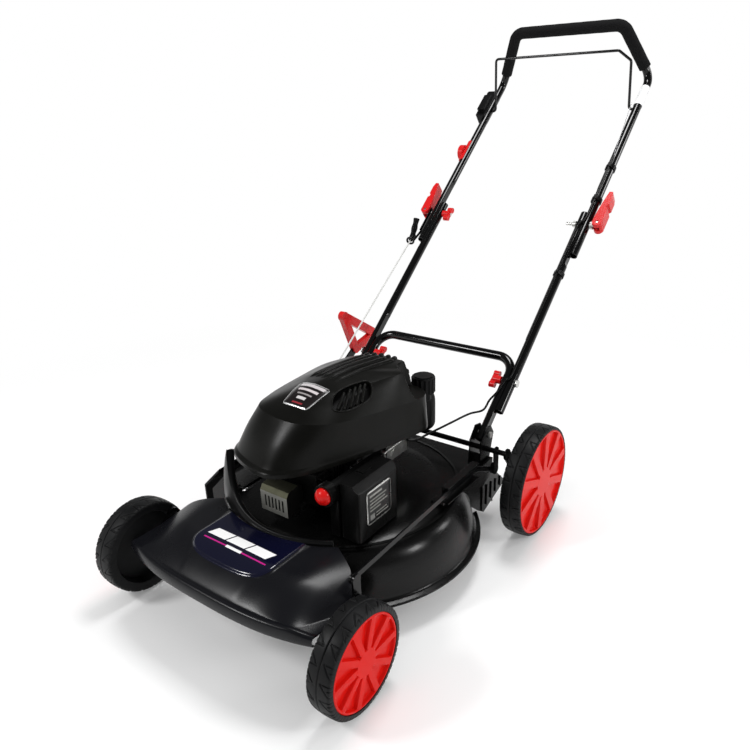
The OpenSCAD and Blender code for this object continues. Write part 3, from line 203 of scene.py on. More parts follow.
class Wire:
    """A value in a node tree; sums on wires add their Math nodes."""

    def __init__(self, graph: Graph, out: bpy.types.NodeSocket) -> None:
        """Holds one output socket of a graph."""
        self.graph = graph
        self.out = out

    def _math(self, operation: str, *values: object) -> "Wire":
        """Adds one Math node on these values."""
        made = self.graph.node("ShaderNodeMath", {"operation": operation})
        for socket, value in zip(made.inputs, values):
            self.graph.feed(socket, value)
        return Wire(self.graph, made.outputs[0])

    def __add__(self, other: object) -> "Wire":
        """Sum."""
        return self._math("ADD", self, other)

    __radd__ = __add__

    def __mul__(self, other: object) -> "Wire":
        """Product."""
        return self._math("MULTIPLY", self, other)

    __rmul__ = __mul__

    def __sub__(self, other: object) -> "Wire":
        """Difference."""
        return self._math("SUBTRACT", self, other)

    def __rsub__(self, other: object) -> "Wire":
        """Difference the other way."""
        return self._math("SUBTRACT", other, self)

    def __truediv__(self, other: object) -> "Wire":
        """Quotient."""
        return self._math("DIVIDE", self, other)

    def __pow__(self, other: object) -> "Wire":
        """Power."""
        return self._math("POWER", self, other)

    def __abs__(self) -> "Wire":
        """Size without its sign."""
        return self._math("ABSOLUTE", self)

    def sine(self) -> "Wire":
        """Sine."""
        return self._math("SINE", self)

    def least(self, other: object) -> "Wire":
        """The smaller of two."""
        return self._math("MINIMUM", self, other)

    def most(self, other: object) -> "Wire":
        """The larger of two."""
        return self._math("MAXIMUM", self, other)

    def ramp(self, low: float, high: float, to_low: float = 0.0, to_high: float = 1.0) -> "Wire":
        """Smooth step from to_low at low to to_high at high."""
        made = self.graph.node("ShaderNodeMapRange", {"interpolation_type": "SMOOTHSTEP"},
                               Value=self, From_Min=low, From_Max=high, To_Min=to_low,
                               To_Max=to_high)
        return Wire(self.graph, made.outputs[0])


def band(value: Wire, low: float, high: float, soft: float = 0.0004) -> Wire:
    """A mask that is 1 between two values, with soft edges."""
    return value.ramp(low - soft, low + soft) * (1 - value.ramp(high - soft, high + soft))


# ---------------------------------------------------------------- finishes


@dataclass(frozen=True)
class Gloss:
    """Glossy paint or moulding with a fine orange peel and small scuffs."""

    name: str
    colour: Colour
    roughness: float = 0.16
    peel: float = 0.00001
    peel_scale: float = 260.0
    coat: float = 0.06
    specular: float = 0.16

    def material(self) -> bpy.types.Material:
        """Colour and roughness vary a little with a broad noise; scuffs are rougher."""
        g = Graph(self.name)
        cloud = g.noise(9.0, 4.0)
        fine = g.noise(self.peel_scale, 2.0)
        scuff = g.noise(38.0, 6.0, 0.7, g.place(scale=(1, 0.25, 1))).ramp(0.62, 0.78)
        tint = tuple(c * 1.25 for c in self.colour)
        g.relief(fine, self.peel)
        return g.finish(Base_Color=g.blend(cloud.ramp(0.45, 0.8) * 0.6, self.colour, tint),
                        Roughness=self.roughness + cloud.ramp(0.4, 0.8) * 0.06 + scuff * 0.10,
                        Coat_Weight=self.coat, Coat_Roughness=0.08,
                        Specular_IOR_Level=self.specular)


@dataclass(frozen=True)
class Satin:
    """Moulded plastic with a spark-eroded grain and paler worn edges of the grain."""

    name: str
    colour: Colour
    roughness: float = 0.42
    grain: float = 0.00003
    grain_scale: float = 900.0
    specular: float = 0.13

    def material(self) -> bpy.types.Material:
        """Fine cells give the grain; a broad noise varies sheen and colour."""
        g = Graph(self.name)
        grain = g.cells(self.grain_scale)
        cloud = g.noise(14.0, 4.0)
        pale = tuple(min(1.0, c * 1.4 + 0.0006) for c in self.colour)
        g.relief(grain * 0.7 + g.noise(420.0) * 0.3, self.grain)
        return g.finish(Base_Color=g.blend(cloud.ramp(0.35, 0.75) * 0.7, self.colour, pale),
                        Roughness=self.roughness + cloud.ramp(0.3, 0.8) * 0.12 - grain * 0.05,
                        Specular_IOR_Level=self.specular)


@dataclass(frozen=True)
class Rubber:
    """Dull black rubber with dust in its hollows."""

    name: str
    colour: Colour = (0.022, 0.022, 0.022)
    roughness: float = 0.7
    grain_scale: float = 500.0
    specular: float = 0.14

    def material(self) -> bpy.types.Material:
        """A pale dust noise over a dark base, with a fine leathery bump."""
        g = Graph(self.name)
        cloud = g.noise(22.0, 5.0, 0.65)
        grain = g.noise(self.grain_scale, 3.0)
        dusty = tuple(c * 1.7 + 0.002 for c in self.colour)
        g.relief(grain, 0.00006)
        return g.finish(Base_Color=g.blend(cloud.ramp(0.45, 0.8), self.colour, dusty),
                        Roughness=self.roughness + cloud.ramp(0.3, 0.7) * 0.15,
                        Specular_IOR_Level=self.specular)


@dataclass(frozen=True)
class Metal:
    """Bare or plated metal with a drawn or cast grain."""

    name: str
    colour: Colour
    roughness: float = 0.3
    stretch: tuple[float, float, float] = (1.0, 1.0, 1.0)
    grain: float = 0.00002
    grain_scale: float = 300.0
    metallic: float = 1.0

    def material(self) -> bpy.types.Material:
        """A stretched noise makes the drawn lines; stains lower the shine."""
        g = Graph(self.name)
        lines = g.noise(self.grain_scale, 5.0, 0.6, g.place(scale=self.stretch))
        stain = g.noise(30.0, 5.0).ramp(0.45, 0.75)
        dark = tuple(c * 0.62 for c in self.colour)
        g.relief(lines, self.grain)
        return g.finish(Base_Color=g.blend(stain * 0.6, self.colour, dark),
                        Metallic=self.metallic,
                        Roughness=self.roughness + lines * 0.12 + stain * 0.12)


@dataclass(frozen=True)
class Foam:
    """Closed cell foam sleeve: small skin pores over shallow waves."""

    name: str

    def material(self) -> bpy.types.Material:
        """Cells at two scales make the pores; their pits are painted darker, as painted shade."""
        g = Graph(self.name)
        pits_and_shade = g.cells(650.0).ramp(0.1, 0.6)
        g.relief(pits_and_shade * 0.7 + g.noise(90.0) * 0.5, 0.00018)
        # painted shade: the pits of the pores take the darker colour, the skin round them the
        # paler one
        colour = g.blend(pits_and_shade, (0.0025, 0.0025, 0.0026), (0.0085, 0.0085, 0.0090))
        return g.finish(Base_Color=colour, Roughness=0.78 + g.noise(40.0) * 0.15,
                        Specular_IOR_Level=0.1)


@dataclass(frozen=True)
class Braid:
    """Braided cord: two sets of slanted strands along the cord's own length."""

    name: str
    colour: Colour
    pitch: float = 0.004

    def material(self) -> bpy.types.Material:
        """Strand height is the product of two sine waves that cross over the UV map."""
        g = Graph(self.name)
        along, around, _ = g.axes(g.place(uv=True))
        run, lap = along * (TURN / self.pitch), around * TURN * 4
        weave = ((run + lap).sine() * (run - lap).sine()) * 0.5 + 0.5
        shade = tuple(c * 0.55 for c in self.colour)
        g.relief(weave, 0.0003)
        return g.finish(Base_Color=g.blend(weave, shade, self.colour), Roughness=0.8 + weave * 0.1)


@dataclass(frozen=True)
class Bars:
    """A bare plate with a rim and plain generic bars on it, drawn in the plate's own UV map."""

    name: str
    ground: Colour
    rim: Colour
    bars: tuple[tuple[float, float, float, float, Colour], ...]
    roughness: float = 0.24
    rim_width: float = 0.045

    def material(self) -> bpy.types.Material:
        """Each bar is a box in UV; the rim is what lies near the map's edge."""
        g = Graph(self.name)
        u, v, _ = g.axes(g.place(uv=True))
        w = self.rim_width
        inside = band(u, w * 0.6, 1 - w * 0.6, 0.004) * band(v, w, 1 - w, 0.006)
        colour = g.blend(inside, self.rim, self.ground)
        for low_u, high_u, low_v, high_v, paint in self.bars:
            mask = band(u, low_u, high_u, 0.004) * band(v, low_v, high_v, 0.008)
            colour = g.blend(mask, colour, paint)
        g.relief(g.noise(300.0), 0.000008)
        return g.finish(Base_Color=colour, Metallic=(1 - inside) * 0.8,
                        Roughness=self.roughness + g.noise(60.0) * 0.08)


# ---------------------------------------------------------------- surfaces


@contextmanager
def edited(mesh: bpy.types.Mesh) -> Iterator[bmesh.types.BMesh]:
    """Opens a mesh for editing and writes it back at the end."""
    work = bmesh.new()
    work.from_mesh(mesh)
    yield work
    work.to_mesh(mesh)
    work.free()


def surface(name: str, grid: np.ndarray, round_rows: bool = False, round_columns: bool = False,
            material: bpy.types.Material | None = None, sharp: float = 40.0,
            uv: np.ndarray | None = None, outward: bool = True) -> bpy.types.Object:
    """Turns a grid of points into one smooth mesh.

    Each grid cell becomes a quad; rows or columns may close on themselves. Points that meet,
    as at a pole or a seam, are merged, and faces are turned outwards.

    Args:
        name: the piece's name.
        grid: rows x columns x 3 points in metres.
        round_rows: the last row joins the first.
        round_columns: the last column joins the first.
        material: the piece's finish.
        sharp: edges that turn more than this many degrees stay sharp.
        uv: rows x columns x 2 map, for patterns that follow the surface.
        outward: recalculates the faces' sides.

    Returns:
        The object, at the origin.
    """
    rows, columns = grid.shape[:2]
    index = np.arange(rows * columns).reshape(rows, columns)
    if round_rows:
        index = np.vstack([index, index[:1]])
    if round_columns:
        index = np.hstack([index, index[:, :1]])
    quads = np.stack([index[:-1, :-1], index[1:, :-1], index[1:, 1:], index[:-1, 1:]],
                     axis=-1).reshape(-1, 4)
    mesh = bpy.data.meshes.new(name)
    mesh.from_pydata(grid.reshape(-1, 3).tolist(), [], quads.tolist())
    if uv is not None:
        layer = mesh.uv_layers.new(name="map")
        corners = uv.reshape(-1, 2)[quads.reshape(-1)]
        layer.uv.foreach_set("vector", corners.astype(np.float32).ravel())
    with edited(mesh) as work:
        bmesh.ops.remove_doubles(work, verts=work.verts, dist=2e-7)
        if outward:
            bmesh.ops.recalc_face_normals(work, faces=work.faces)
    mesh.shade_smooth()
    mesh.set_sharp_from_angle(angle=math.radians(sharp))
    return add_object(name, mesh, material)


def add_object(name: str, mesh: bpy.types.Mesh,
               material: bpy.types.Material | None) -> bpy.types.Object:
    """Puts a mesh in the scene with its finish."""
    made = bpy.data.objects.new(name, mesh)
    bpy.context.scene.collection.objects.link(made)
    if material is not None:
        mesh.materials.clear()
        mesh.materials.append(material)
    return made


def settle(piece: bpy.types.Object, node: str) -> bpy.types.Object:
    """Makes a piece stand for a CAD node: it rides on its body, and the node is hidden.

    Args:
        piece: the visible piece.
        node: the CAD node.

    Returns:
        The same piece.
    """
    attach(piece, BODY_OF[node])
    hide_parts(node)
    LOG.info("%s rides on %s", piece.name, BODY_OF[node])
    return piece


def cad_skin(node: str, material: bpy.types.Material, sharp: float = 30.0,
             bevel: float = 0.5) -> bpy.types.Object:
    """Copies a CAD node, merges its loose corners, smooths its round faces and breaks its edges.

    Args:
        node: the CAD node that the copy stands for.
        material: its finish.
        sharp: edges that turn more than this many degrees stay edges.
        bevel: width in mm of the broken edges.

    Returns:
        The copy, which rides on the node's body.
    """
    mesh = frame["nodes"][node].data.copy()
    with edited(mesh) as work:
        bmesh.ops.remove_doubles(work, verts=work.verts, dist=2e-6)
        bmesh.ops.dissolve_limit(work, angle_limit=math.radians(0.8), verts=work.verts,
                                 edges=work.edges)
    mesh.shade_smooth()
    mesh.set_sharp_from_angle(angle=math.radians(sharp))
    piece = add_object(f"{node}_skin", mesh, material)
    rounding = piece.modifiers.new("broken_edges", "BEVEL")
    rounding.width = bevel * MM
    rounding.segments = 2
    rounding.limit_method = "ANGLE"
    rounding.angle_limit = math.radians(max(sharp, 30.0))
    rounding.harden_normals = True
    return settle(piece, node)


def unit(v: np.ndarray) -> np.ndarray:
    """Each vector divided by its length."""
    return v / np.linalg.norm(v, axis=-1, keepdims=True)


def step(value: np.ndarray, low: float, high: float) -> np.ndarray:
    """Smooth step: 0 below low, 1 above high, 3t^2 - 2t^3 between."""
    t = np.clip((value - low) / (high - low), 0.0, 1.0)
    return t * t * (3 - 2 * t)


def spline(points: ArrayLike, count: int, closed: bool = False) -> np.ndarray:
    """Catmull-Rom curve through points: a cubic on each stretch from its four neighbours.

    Args:
        points: n x d control points.
        count: samples on each stretch.
        closed: the curve returns to its start.

    Returns:
        Samples on the curve.
    """
    p = np.asarray(points, float)
    n = len(p)
    if closed:
        before, start, end, after = (np.roll(p, s, axis=0) for s in (1, 0, -1, -2))
    else:
        q = np.vstack([p[:1], p, p[-1:]])
        before, start, end = q[:n - 1], q[1:n], q[2:n + 1]
        after = q[np.minimum(np.arange(n - 1) + 3, n + 1)]
    t = (np.arange(count) / count)[None, :, None]
    a, b, c, d = (x[:, None, :] for x in (before, start, end, after))
    curve = 0.5 * (2 * b + (c - a) * t + (2 * a - 5 * b + 4 * c - d) * t ** 2
                   + (3 * b - a - 3 * c + d) * t ** 3)
    curve = curve.reshape(-1, p.shape[1])
    return curve if closed else np.vstack([curve, p[-1:]])


def bent(points: ArrayLike, radii: Sequence[float], steps: int = 18) -> np.ndarray:
    """Corners joined by straight runs and round bends, as centres of a bent tube.

    At each inner corner the arc is tangent to both runs: its centre lies a radius from each.

    Args:
        points: the corners.
        radii: one bend radius for each inner corner.
        steps: stretches in each bend.

    Returns:
        Points along the tube.
    """
    p = np.asarray(points, float)
    route = [p[0]]
    for i, radius in enumerate(radii, start=1):
        u = unit(p[i] - p[i - 1])
        v = unit(p[i + 1] - p[i])
        turn = math.acos(float(np.clip(u @ v, -1, 1)))
        m = unit(v - u * (u @ v))
        centre = p[i] - u * radius * math.tan(turn / 2) + m * radius
        a = np.linspace(0, turn, steps + 1)[:, None]
        route.extend(centre - m * radius * np.cos(a) + u * radius * np.sin(a))
    route.append(p[-1])
    return np.array(route)


# A tube's open end shows its bore this far in, in metres. A closed end has a chamfer that
# takes RIM_SHARE of the radius along the tube and leaves RIM_WIDTH of it on the end face.
BORE_DEPTH = 0.05
RIM_SHARE = 0.07
RIM_WIDTH = 0.93


def tube(name: str, centres: np.ndarray, radius: float | np.ndarray, sides: int = 40,
         material: bpy.types.Material | None = None, hollow: float = 0.0,
         reference: ArrayLike = (0, -1, 0),
         change: Callable[[np.ndarray], np.ndarray] | None = None) -> bpy.types.Object:
    """Round section carried along a path, with flat or hollow ends.

    A point is centre + r (a cos t + b sin t), where a is the path's direction crossed with a
    reference direction and b is square to both. A hollow end turns inwards and runs back; a
    closed end has a small chamfer.

    Args:
        name: the piece's name.
        centres: points along the path.
        radius: one radius, or one for each point.
        sides: points around the section.
        material: its finish.
        hollow: inner radius of the open ends, 0 for closed ends.
        reference: direction that fixes where the section starts.
        change: a last change of all points, such as pressing a flat.

    Returns:
        The object.
    """
    along = unit(np.gradient(centres, axis=0))
    r = np.broadcast_to(np.asarray(radius, float), (len(centres),)).copy()
    first = [0, 0, 0] if hollow else [0, 0]
    last = [len(centres) - 1] * len(first)
    stations = np.concatenate([first, np.arange(len(centres)), last]).astype(int)
    inset = np.zeros(len(stations))
    widths = r[stations]
    widths[[0, -1]] = 0.0
    if hollow:
        widths[[1, 2, -2, -3]] = hollow
        inset[[0, 1]] = BORE_DEPTH
        inset[[-1, -2]] = -BORE_DEPTH
    else:
        widths[[1, -2]] = r[[0, -1]] * RIM_WIDTH
    c, d = centres[stations] + along[stations] * inset[:, None], along[stations]
    if not hollow:
        c[2] = c[2] + d[2] * r[0] * RIM_SHARE
        c[-3] = c[-3] - d[-3] * r[-1] * RIM_SHARE
    a = unit(np.cross(d, np.asarray(reference, float)))
    b = np.cross(d, a)
    t = np.linspace(0, TURN, sides, endpoint=False)
    around = (a[:, None, :] * np.cos(t)[None, :, None]
              + b[:, None, :] * np.sin(t)[None, :, None])
    grid = c[:, None, :] + widths[:, None, None] * around
    if change is not None:
        grid = change(grid)
    length = np.concatenate([[0], np.cumsum(np.linalg.norm(np.diff(c, axis=0), axis=1))])
    uv = np.stack(np.broadcast_arrays(length[:, None], (t / TURN)[None, :]), axis=-1)
    return surface(name, grid, round_columns=True, material=material, uv=uv)


def revolve(name: str, profile: ArrayLike, sides: int, place: Callable[[np.ndarray], np.ndarray],
            material: bpy.types.Material | None = None, sharp: float = 35.0,
            closed: bool = False,
            change: Callable[[np.ndarray, np.ndarray], np.ndarray] | None = None
            ) -> bpy.types.Object:
    """Profile of [radius, height] turned about its axis.

    A point is (r cos t, r sin t, h), then placed in the part.

    Args:
        name: the piece's name.
        profile: [radius, height] points.
        sides: points around.
        place: puts local points in the part's frame.
        material: its finish.
        sharp: edges above this angle stay sharp.
        closed: the profile closes on itself.
        change: new radius and height from the angle and the profile.

    Returns:
        The object.
    """
    p = np.asarray(profile, float)
    t = np.linspace(0, TURN, sides, endpoint=False)
    rh = np.broadcast_to(p[:, None, :], (len(p), sides, 2)).copy()
    if change is not None:
        rh = change(np.broadcast_to(t[None, :], rh.shape[:2]), rh)
    local = np.stack([rh[..., 0] * np.cos(t), rh[..., 0] * np.sin(t), rh[..., 1]], axis=-1)
    return surface(name, place(local), round_rows=closed, round_columns=True, material=material,
                   sharp=sharp)


def superellipse(count: int, order: float) -> np.ndarray:
    """Points of |x|^order + |y|^order = 1, from x = cos^(2/order) t and y = sin^(2/order) t."""
    t = np.linspace(0, TURN, count, endpoint=False)
    power = 2 / order
    return np.stack([np.sign(np.cos(t)) * np.abs(np.cos(t)) ** power,
                     np.sign(np.sin(t)) * np.abs(np.sin(t)) ** power], axis=-1)


def prism(ring: ArrayLike, way: ArrayLike, low: float, high: float) -> np.ndarray:
    """Closed body between two shifts of a flat outline.

    Args:
        ring: the outline's points in mm.
        way: direction of the shifts.
        low: first shift in mm.
        high: last shift in mm.

    Returns:
        Its rings in metres, the first and the last drawn to a point.
    """
    ring, way = np.asarray(ring, float), np.asarray(way, float)
    middle = ring.mean(axis=0)
    rows = [middle + (ring - middle) * size + way * level
            for level, size in ((low, 0.0), (low, 1.0), (high, 1.0), (high, 0.0))]
    return np.array(rows) * MM


# ---------------------------------------------------------------- colours and looks

WHITE = (0.86, 0.86, 0.86)


@dataclass(frozen=True)
class Field:
    """Apron moulding: satin black, with a navy gloss field that carries a stripe and bars."""

    name: str
    colour: Colour = (0.0048, 0.0050, 0.0066)
    navy: Colour = (0.0030, 0.0034, 0.0150)
    stripe: Colour = (0.50, 0.012, 0.22)

    def material(self) -> bpy.types.Material:
        """The field's edge is (|x| / a)^3.4 + (ahead / b)^2.4 = 1, with a round lower end."""
        g = Graph(self.name)
        x, y, z = g.axes(g.place())
        ahead = ((-0.322 - y) / 0.045).most(0.0)
        rim = 1 - ((abs(x) / 0.099) ** 3.4 + ahead ** 2.4) ** (1 / 2.8)
        mask = rim.ramp(0.010, 0.030) * z.ramp(0.171, 0.174)
        cloud = g.noise(9.0, 4.0)
        colour = g.blend(cloud.ramp(0.4, 0.8) * 0.5, self.colour, (0.0068, 0.0070, 0.0088))
        colour = g.blend(mask, colour, self.navy)
        lean = x - (y + 0.30) * 0.45
        bars = band(y, -0.3180, -0.2975, 0.0005) * band(lean, -0.0720, 0.0770, 0.0006)
        cuts = 1 - (band(lean, -0.0260, -0.0225) + band(lean, 0.0240, 0.0275)).least(1.0)
        line = band(y, -0.3300, -0.3270) * band(x, -0.078, 0.080)
        middle = band(y, -0.3314, -0.3256) * band(x, -0.019, 0.020)
        colour = g.blend(line * (1 - middle), colour, self.stripe)
        colour = g.blend((bars * cuts + middle).least(1.0), colour, WHITE)
        g.relief(g.noise(700.0) * 0.5 + g.cells(500.0) * 0.5, 0.000008)
        return g.finish(Base_Color=colour, Coat_Weight=mask * 0.5, Coat_Roughness=0.06,
                        Roughness=0.27 + cloud.ramp(0.4, 0.8) * 0.08 - mask * 0.12,
                        Specular_IOR_Level=0.22)


class Look(Enum):
    """Every finish on the mower."""

    DECK = Gloss("deck_enamel", (0.0020, 0.0020, 0.0020), 0.25, specular=0.18)
    TUBE = Gloss("tube_gloss", (0.0018, 0.0018, 0.0020), 0.10, peel=0.000006, coat=0.15,
                 specular=0.26)
    BRACKET = Gloss("bracket_enamel", (0.0018, 0.0018, 0.0020), 0.18, specular=0.15)
    APRON = Field("apron_moulding")
    SHROUD = Satin("shroud_plastic", (0.0030, 0.0030, 0.0024), 0.32, 0.00002, 1100.0, 0.13)
    BLACK = Satin("black_plastic", (0.0026, 0.0026, 0.0028), 0.38)
    BOX = Satin("box_plastic", (0.0022, 0.0022, 0.0022), 0.30, specular=0.11)
    COLLAR = Satin("collar_plastic", (0.0026, 0.0026, 0.0028), 0.32, specular=0.13)
    IRON = Satin("black_iron", (0.0040, 0.0038, 0.0036), 0.50, 0.00008, 500.0, 0.16)
    RED = Gloss("red_gloss", (0.64, 0.007, 0.004), 0.28, coat=0.02, specular=0.08)
    LEVER = Gloss("red_moulding", (0.60, 0.009, 0.010), 0.26, coat=0.05, specular=0.22)
    PRIMER = Gloss("primer_red", (0.62, 0.006, 0.005), 0.28, coat=0.05, specular=0.25)
    TYRE = Rubber("tyre_rubber", (0.0042, 0.0044, 0.0048), 0.40, specular=0.17)
    RUBBER = Rubber("soft_rubber", (0.0036, 0.0036, 0.0036), 0.60)
    CABLE = Gloss("cable_sheath", (0.0025, 0.0025, 0.0025), 0.28)
    FOAM = Foam("grip_foam")
    ZINC = Metal("zinc_plate", (0.62, 0.62, 0.60), 0.28, (1, 8, 1))
    ALLOY = Metal("cast_alloy", (0.40, 0.40, 0.40), 0.42, grain=0.00006, grain_scale=420.0)
    GUARD = Metal("guard_plate", (0.36, 0.36, 0.33), 0.50, (10, 1, 1), 0.00001, metallic=0.75)
    # painted shade: a darker olive metal for the guard's top face, standing in for the shade on
    # that face
    GUARD_TOP = Metal("guard_top", (0.10, 0.10, 0.065), 0.42, (10, 1, 1), 0.00001, metallic=0.8)
    STEEL = Metal("ground_steel", (0.34, 0.34, 0.35), 0.32, (1, 12, 1))
    ROPE = Braid("braided_rope", (0.80, 0.80, 0.78))
    SLEEVE = Satin("bare_sleeve", (0.74, 0.75, 0.76), 0.35)
    FILTER = Foam("filter_foam")
    TOP_PLATE = Bars("shroud_plate", (0.0045, 0.0022, 0.0025), (0.70, 0.70, 0.70),
                     ((0.10, 0.90, 0.80, 0.93, (0.55, 0.52, 0.53)),
                      (0.16, 0.84, 0.60, 0.69, (0.60, 0.55, 0.56)),
                      (0.24, 0.76, 0.45, 0.50, (0.30, 0.28, 0.28)),
                      (0.34, 0.66, 0.28, 0.37, (0.60, 0.58, 0.58)),
                      (0.30, 0.70, 0.12, 0.17, (0.28, 0.02, 0.03))))
    SIDE_PLATE = Bars("side_plate", (0.0040, 0.0041, 0.0040), (0.55, 0.55, 0.53),
                      ((0.12, 0.62, 0.80, 0.86, (0.28, 0.28, 0.26)),
                       (0.12, 0.80, 0.68, 0.72, (0.22, 0.22, 0.20)),
                       (0.12, 0.74, 0.58, 0.62, (0.22, 0.22, 0.20)),
                       (0.12, 0.84, 0.48, 0.52, (0.22, 0.22, 0.20)),
                       (0.12, 0.55, 0.38, 0.42, (0.22, 0.22, 0.20)),
                       (0.12, 0.30, 0.12, 0.28, (0.20, 0.20, 0.19)),
                       (0.36, 0.86, 0.14, 0.17, (0.24, 0.24, 0.22)),
                       (0.36, 0.80, 0.23, 0.26, (0.24, 0.24, 0.22))))


@lru_cache(maxsize=None)
def dress(look: Look) -> bpy.types.Material:
    """Gives the material of a finish, made once."""
    return look.value.material()


def skins(*rows: tuple[str, Look, float]) -> None:
    """Dresses copies of CAD nodes, from rows of node, finish and bevel in mm."""
    for node, look, bevel in rows:
        cad_skin(node, dress(look), bevel=bevel)


def repaint(piece: bpy.types.Object, look: Look,
            inside: Callable[[np.ndarray], np.ndarray]) -> bpy.types.Object:
    """Gives a second finish to the faces whose middle passes a test.

    Args:
        piece: the object.
        look: the second finish.
        inside: takes n x 3 face centres in metres and gives n booleans.

    Returns:
        The same object.
    """
    mesh = piece.data
    mesh.materials.append(dress(look))
    centres = np.empty(len(mesh.polygons) * 3, np.float32)
    slots = np.empty(len(mesh.polygons), np.int32)
    mesh.polygons.foreach_get("center", centres)
    mesh.polygons.foreach_get("material_index", slots)
    chosen = inside(centres.reshape(-1, 3))
    slots[chosen] = len(mesh.materials) - 1
    mesh.polygons.foreach_set("material_index", slots)
    return piece


def bridge(piece: bpy.types.Object, first: str, second: str, start: np.ndarray, end: np.ndarray,
           nodes: Sequence[str]) -> bpy.types.Object:
    """Bakes a cord's place into its mesh and hides the solids that it stands for; the cord rides
    on no body.
    """
    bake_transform(piece)
    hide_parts(*nodes)
    LOG.info("%s joins %s and %s", piece.name, first, second)
    return piece


def close_holes(piece: bpy.types.Object) -> bpy.types.Object:
    """Fills the open borders of a piece."""
    with edited(piece.data) as work:
        bmesh.ops.holes_fill(work, edges=[e for e in work.edges if e.is_boundary], sides=0)
        bmesh.ops.recalc_face_normals(work, faces=work.faces)
    return piece


# Points round a plate; the first ring of a plate lies under the surface that it is laid on.
PLATE_POINTS = 96


def plate(name: str, corners: ArrayLike, material: bpy.types.Material,
          thick: float) -> bpy.types.Object:
    """Thin plate with rounded corners between four corners in mm.

    A point is the bilinear mix of the corners. The rings are superellipses, so the plate's
    corners are round; they run from the edge below the surface to the middle.

    Args:
        name: the piece's name.
        corners: lower left, lower right, upper right, upper left.
        material: its finish, which reads the UV map.
        thick: height in mm over the surface.

    Returns:
        The object.
    """
    c = np.asarray(corners, float) * MM
    size = np.array([1.0, 1.0, 0.99, 0.75, 0.5, 0.25, 0.0])[:, None, None]
    lift = np.array([-0.8, 0.7, 1.0, 1.0, 1.0, 1.0, 1.0])[:, None, None] * thick * MM
    uv = 0.5 + 0.5 * superellipse(PLATE_POINTS, 10)[None] * size
    u, v = uv[..., :1], uv[..., 1:]
    flat = (c[0] * (1 - u) * (1 - v) + c[1] * u * (1 - v) + c[2] * u * v + c[3] * (1 - u) * v)
    normal = unit(np.cross(c[1] - c[0], c[3] - c[0]))
    return close_holes(surface(name, flat + normal * lift, round_columns=True,
                               material=material, uv=uv, sharp=50))


# ---------------------------------------------------------------- handle


@dataclass
class Slope:
    """The plane that carries the handle: it rises from a line on the ground."""

    tilt: float = 39.78
    start: float = -20.0

    def at(self, x: float, s: float, h: float = 0.0) -> np.ndarray:
        """Point x across, s along the slope and h above it, in mm, given in metres."""
        a = math.radians(self.tilt)
        return np.array([x, self.start + s * math.cos(a) - h * math.sin(a),
                         s * math.sin(a) + h * math.cos(a)]) * MM

    def along(self, p: np.ndarray) -> np.ndarray:
        """How far points lie up the slope, in mm."""
        a = math.radians(self.tilt)
        return ((p[..., 1] / MM - self.start) * math.cos(a) + p[..., 2] / MM * math.sin(a))


SLOPE = Slope()


def flat_inset(rows: int) -> np.ndarray:
    """How much further in a pressed flat lies on the inner rows of a tube's open ends."""
    inner = np.zeros((rows, 1))
    inner[[0, 1, 2, -1, -2, -3]] = 1.5 * MM
    return inner


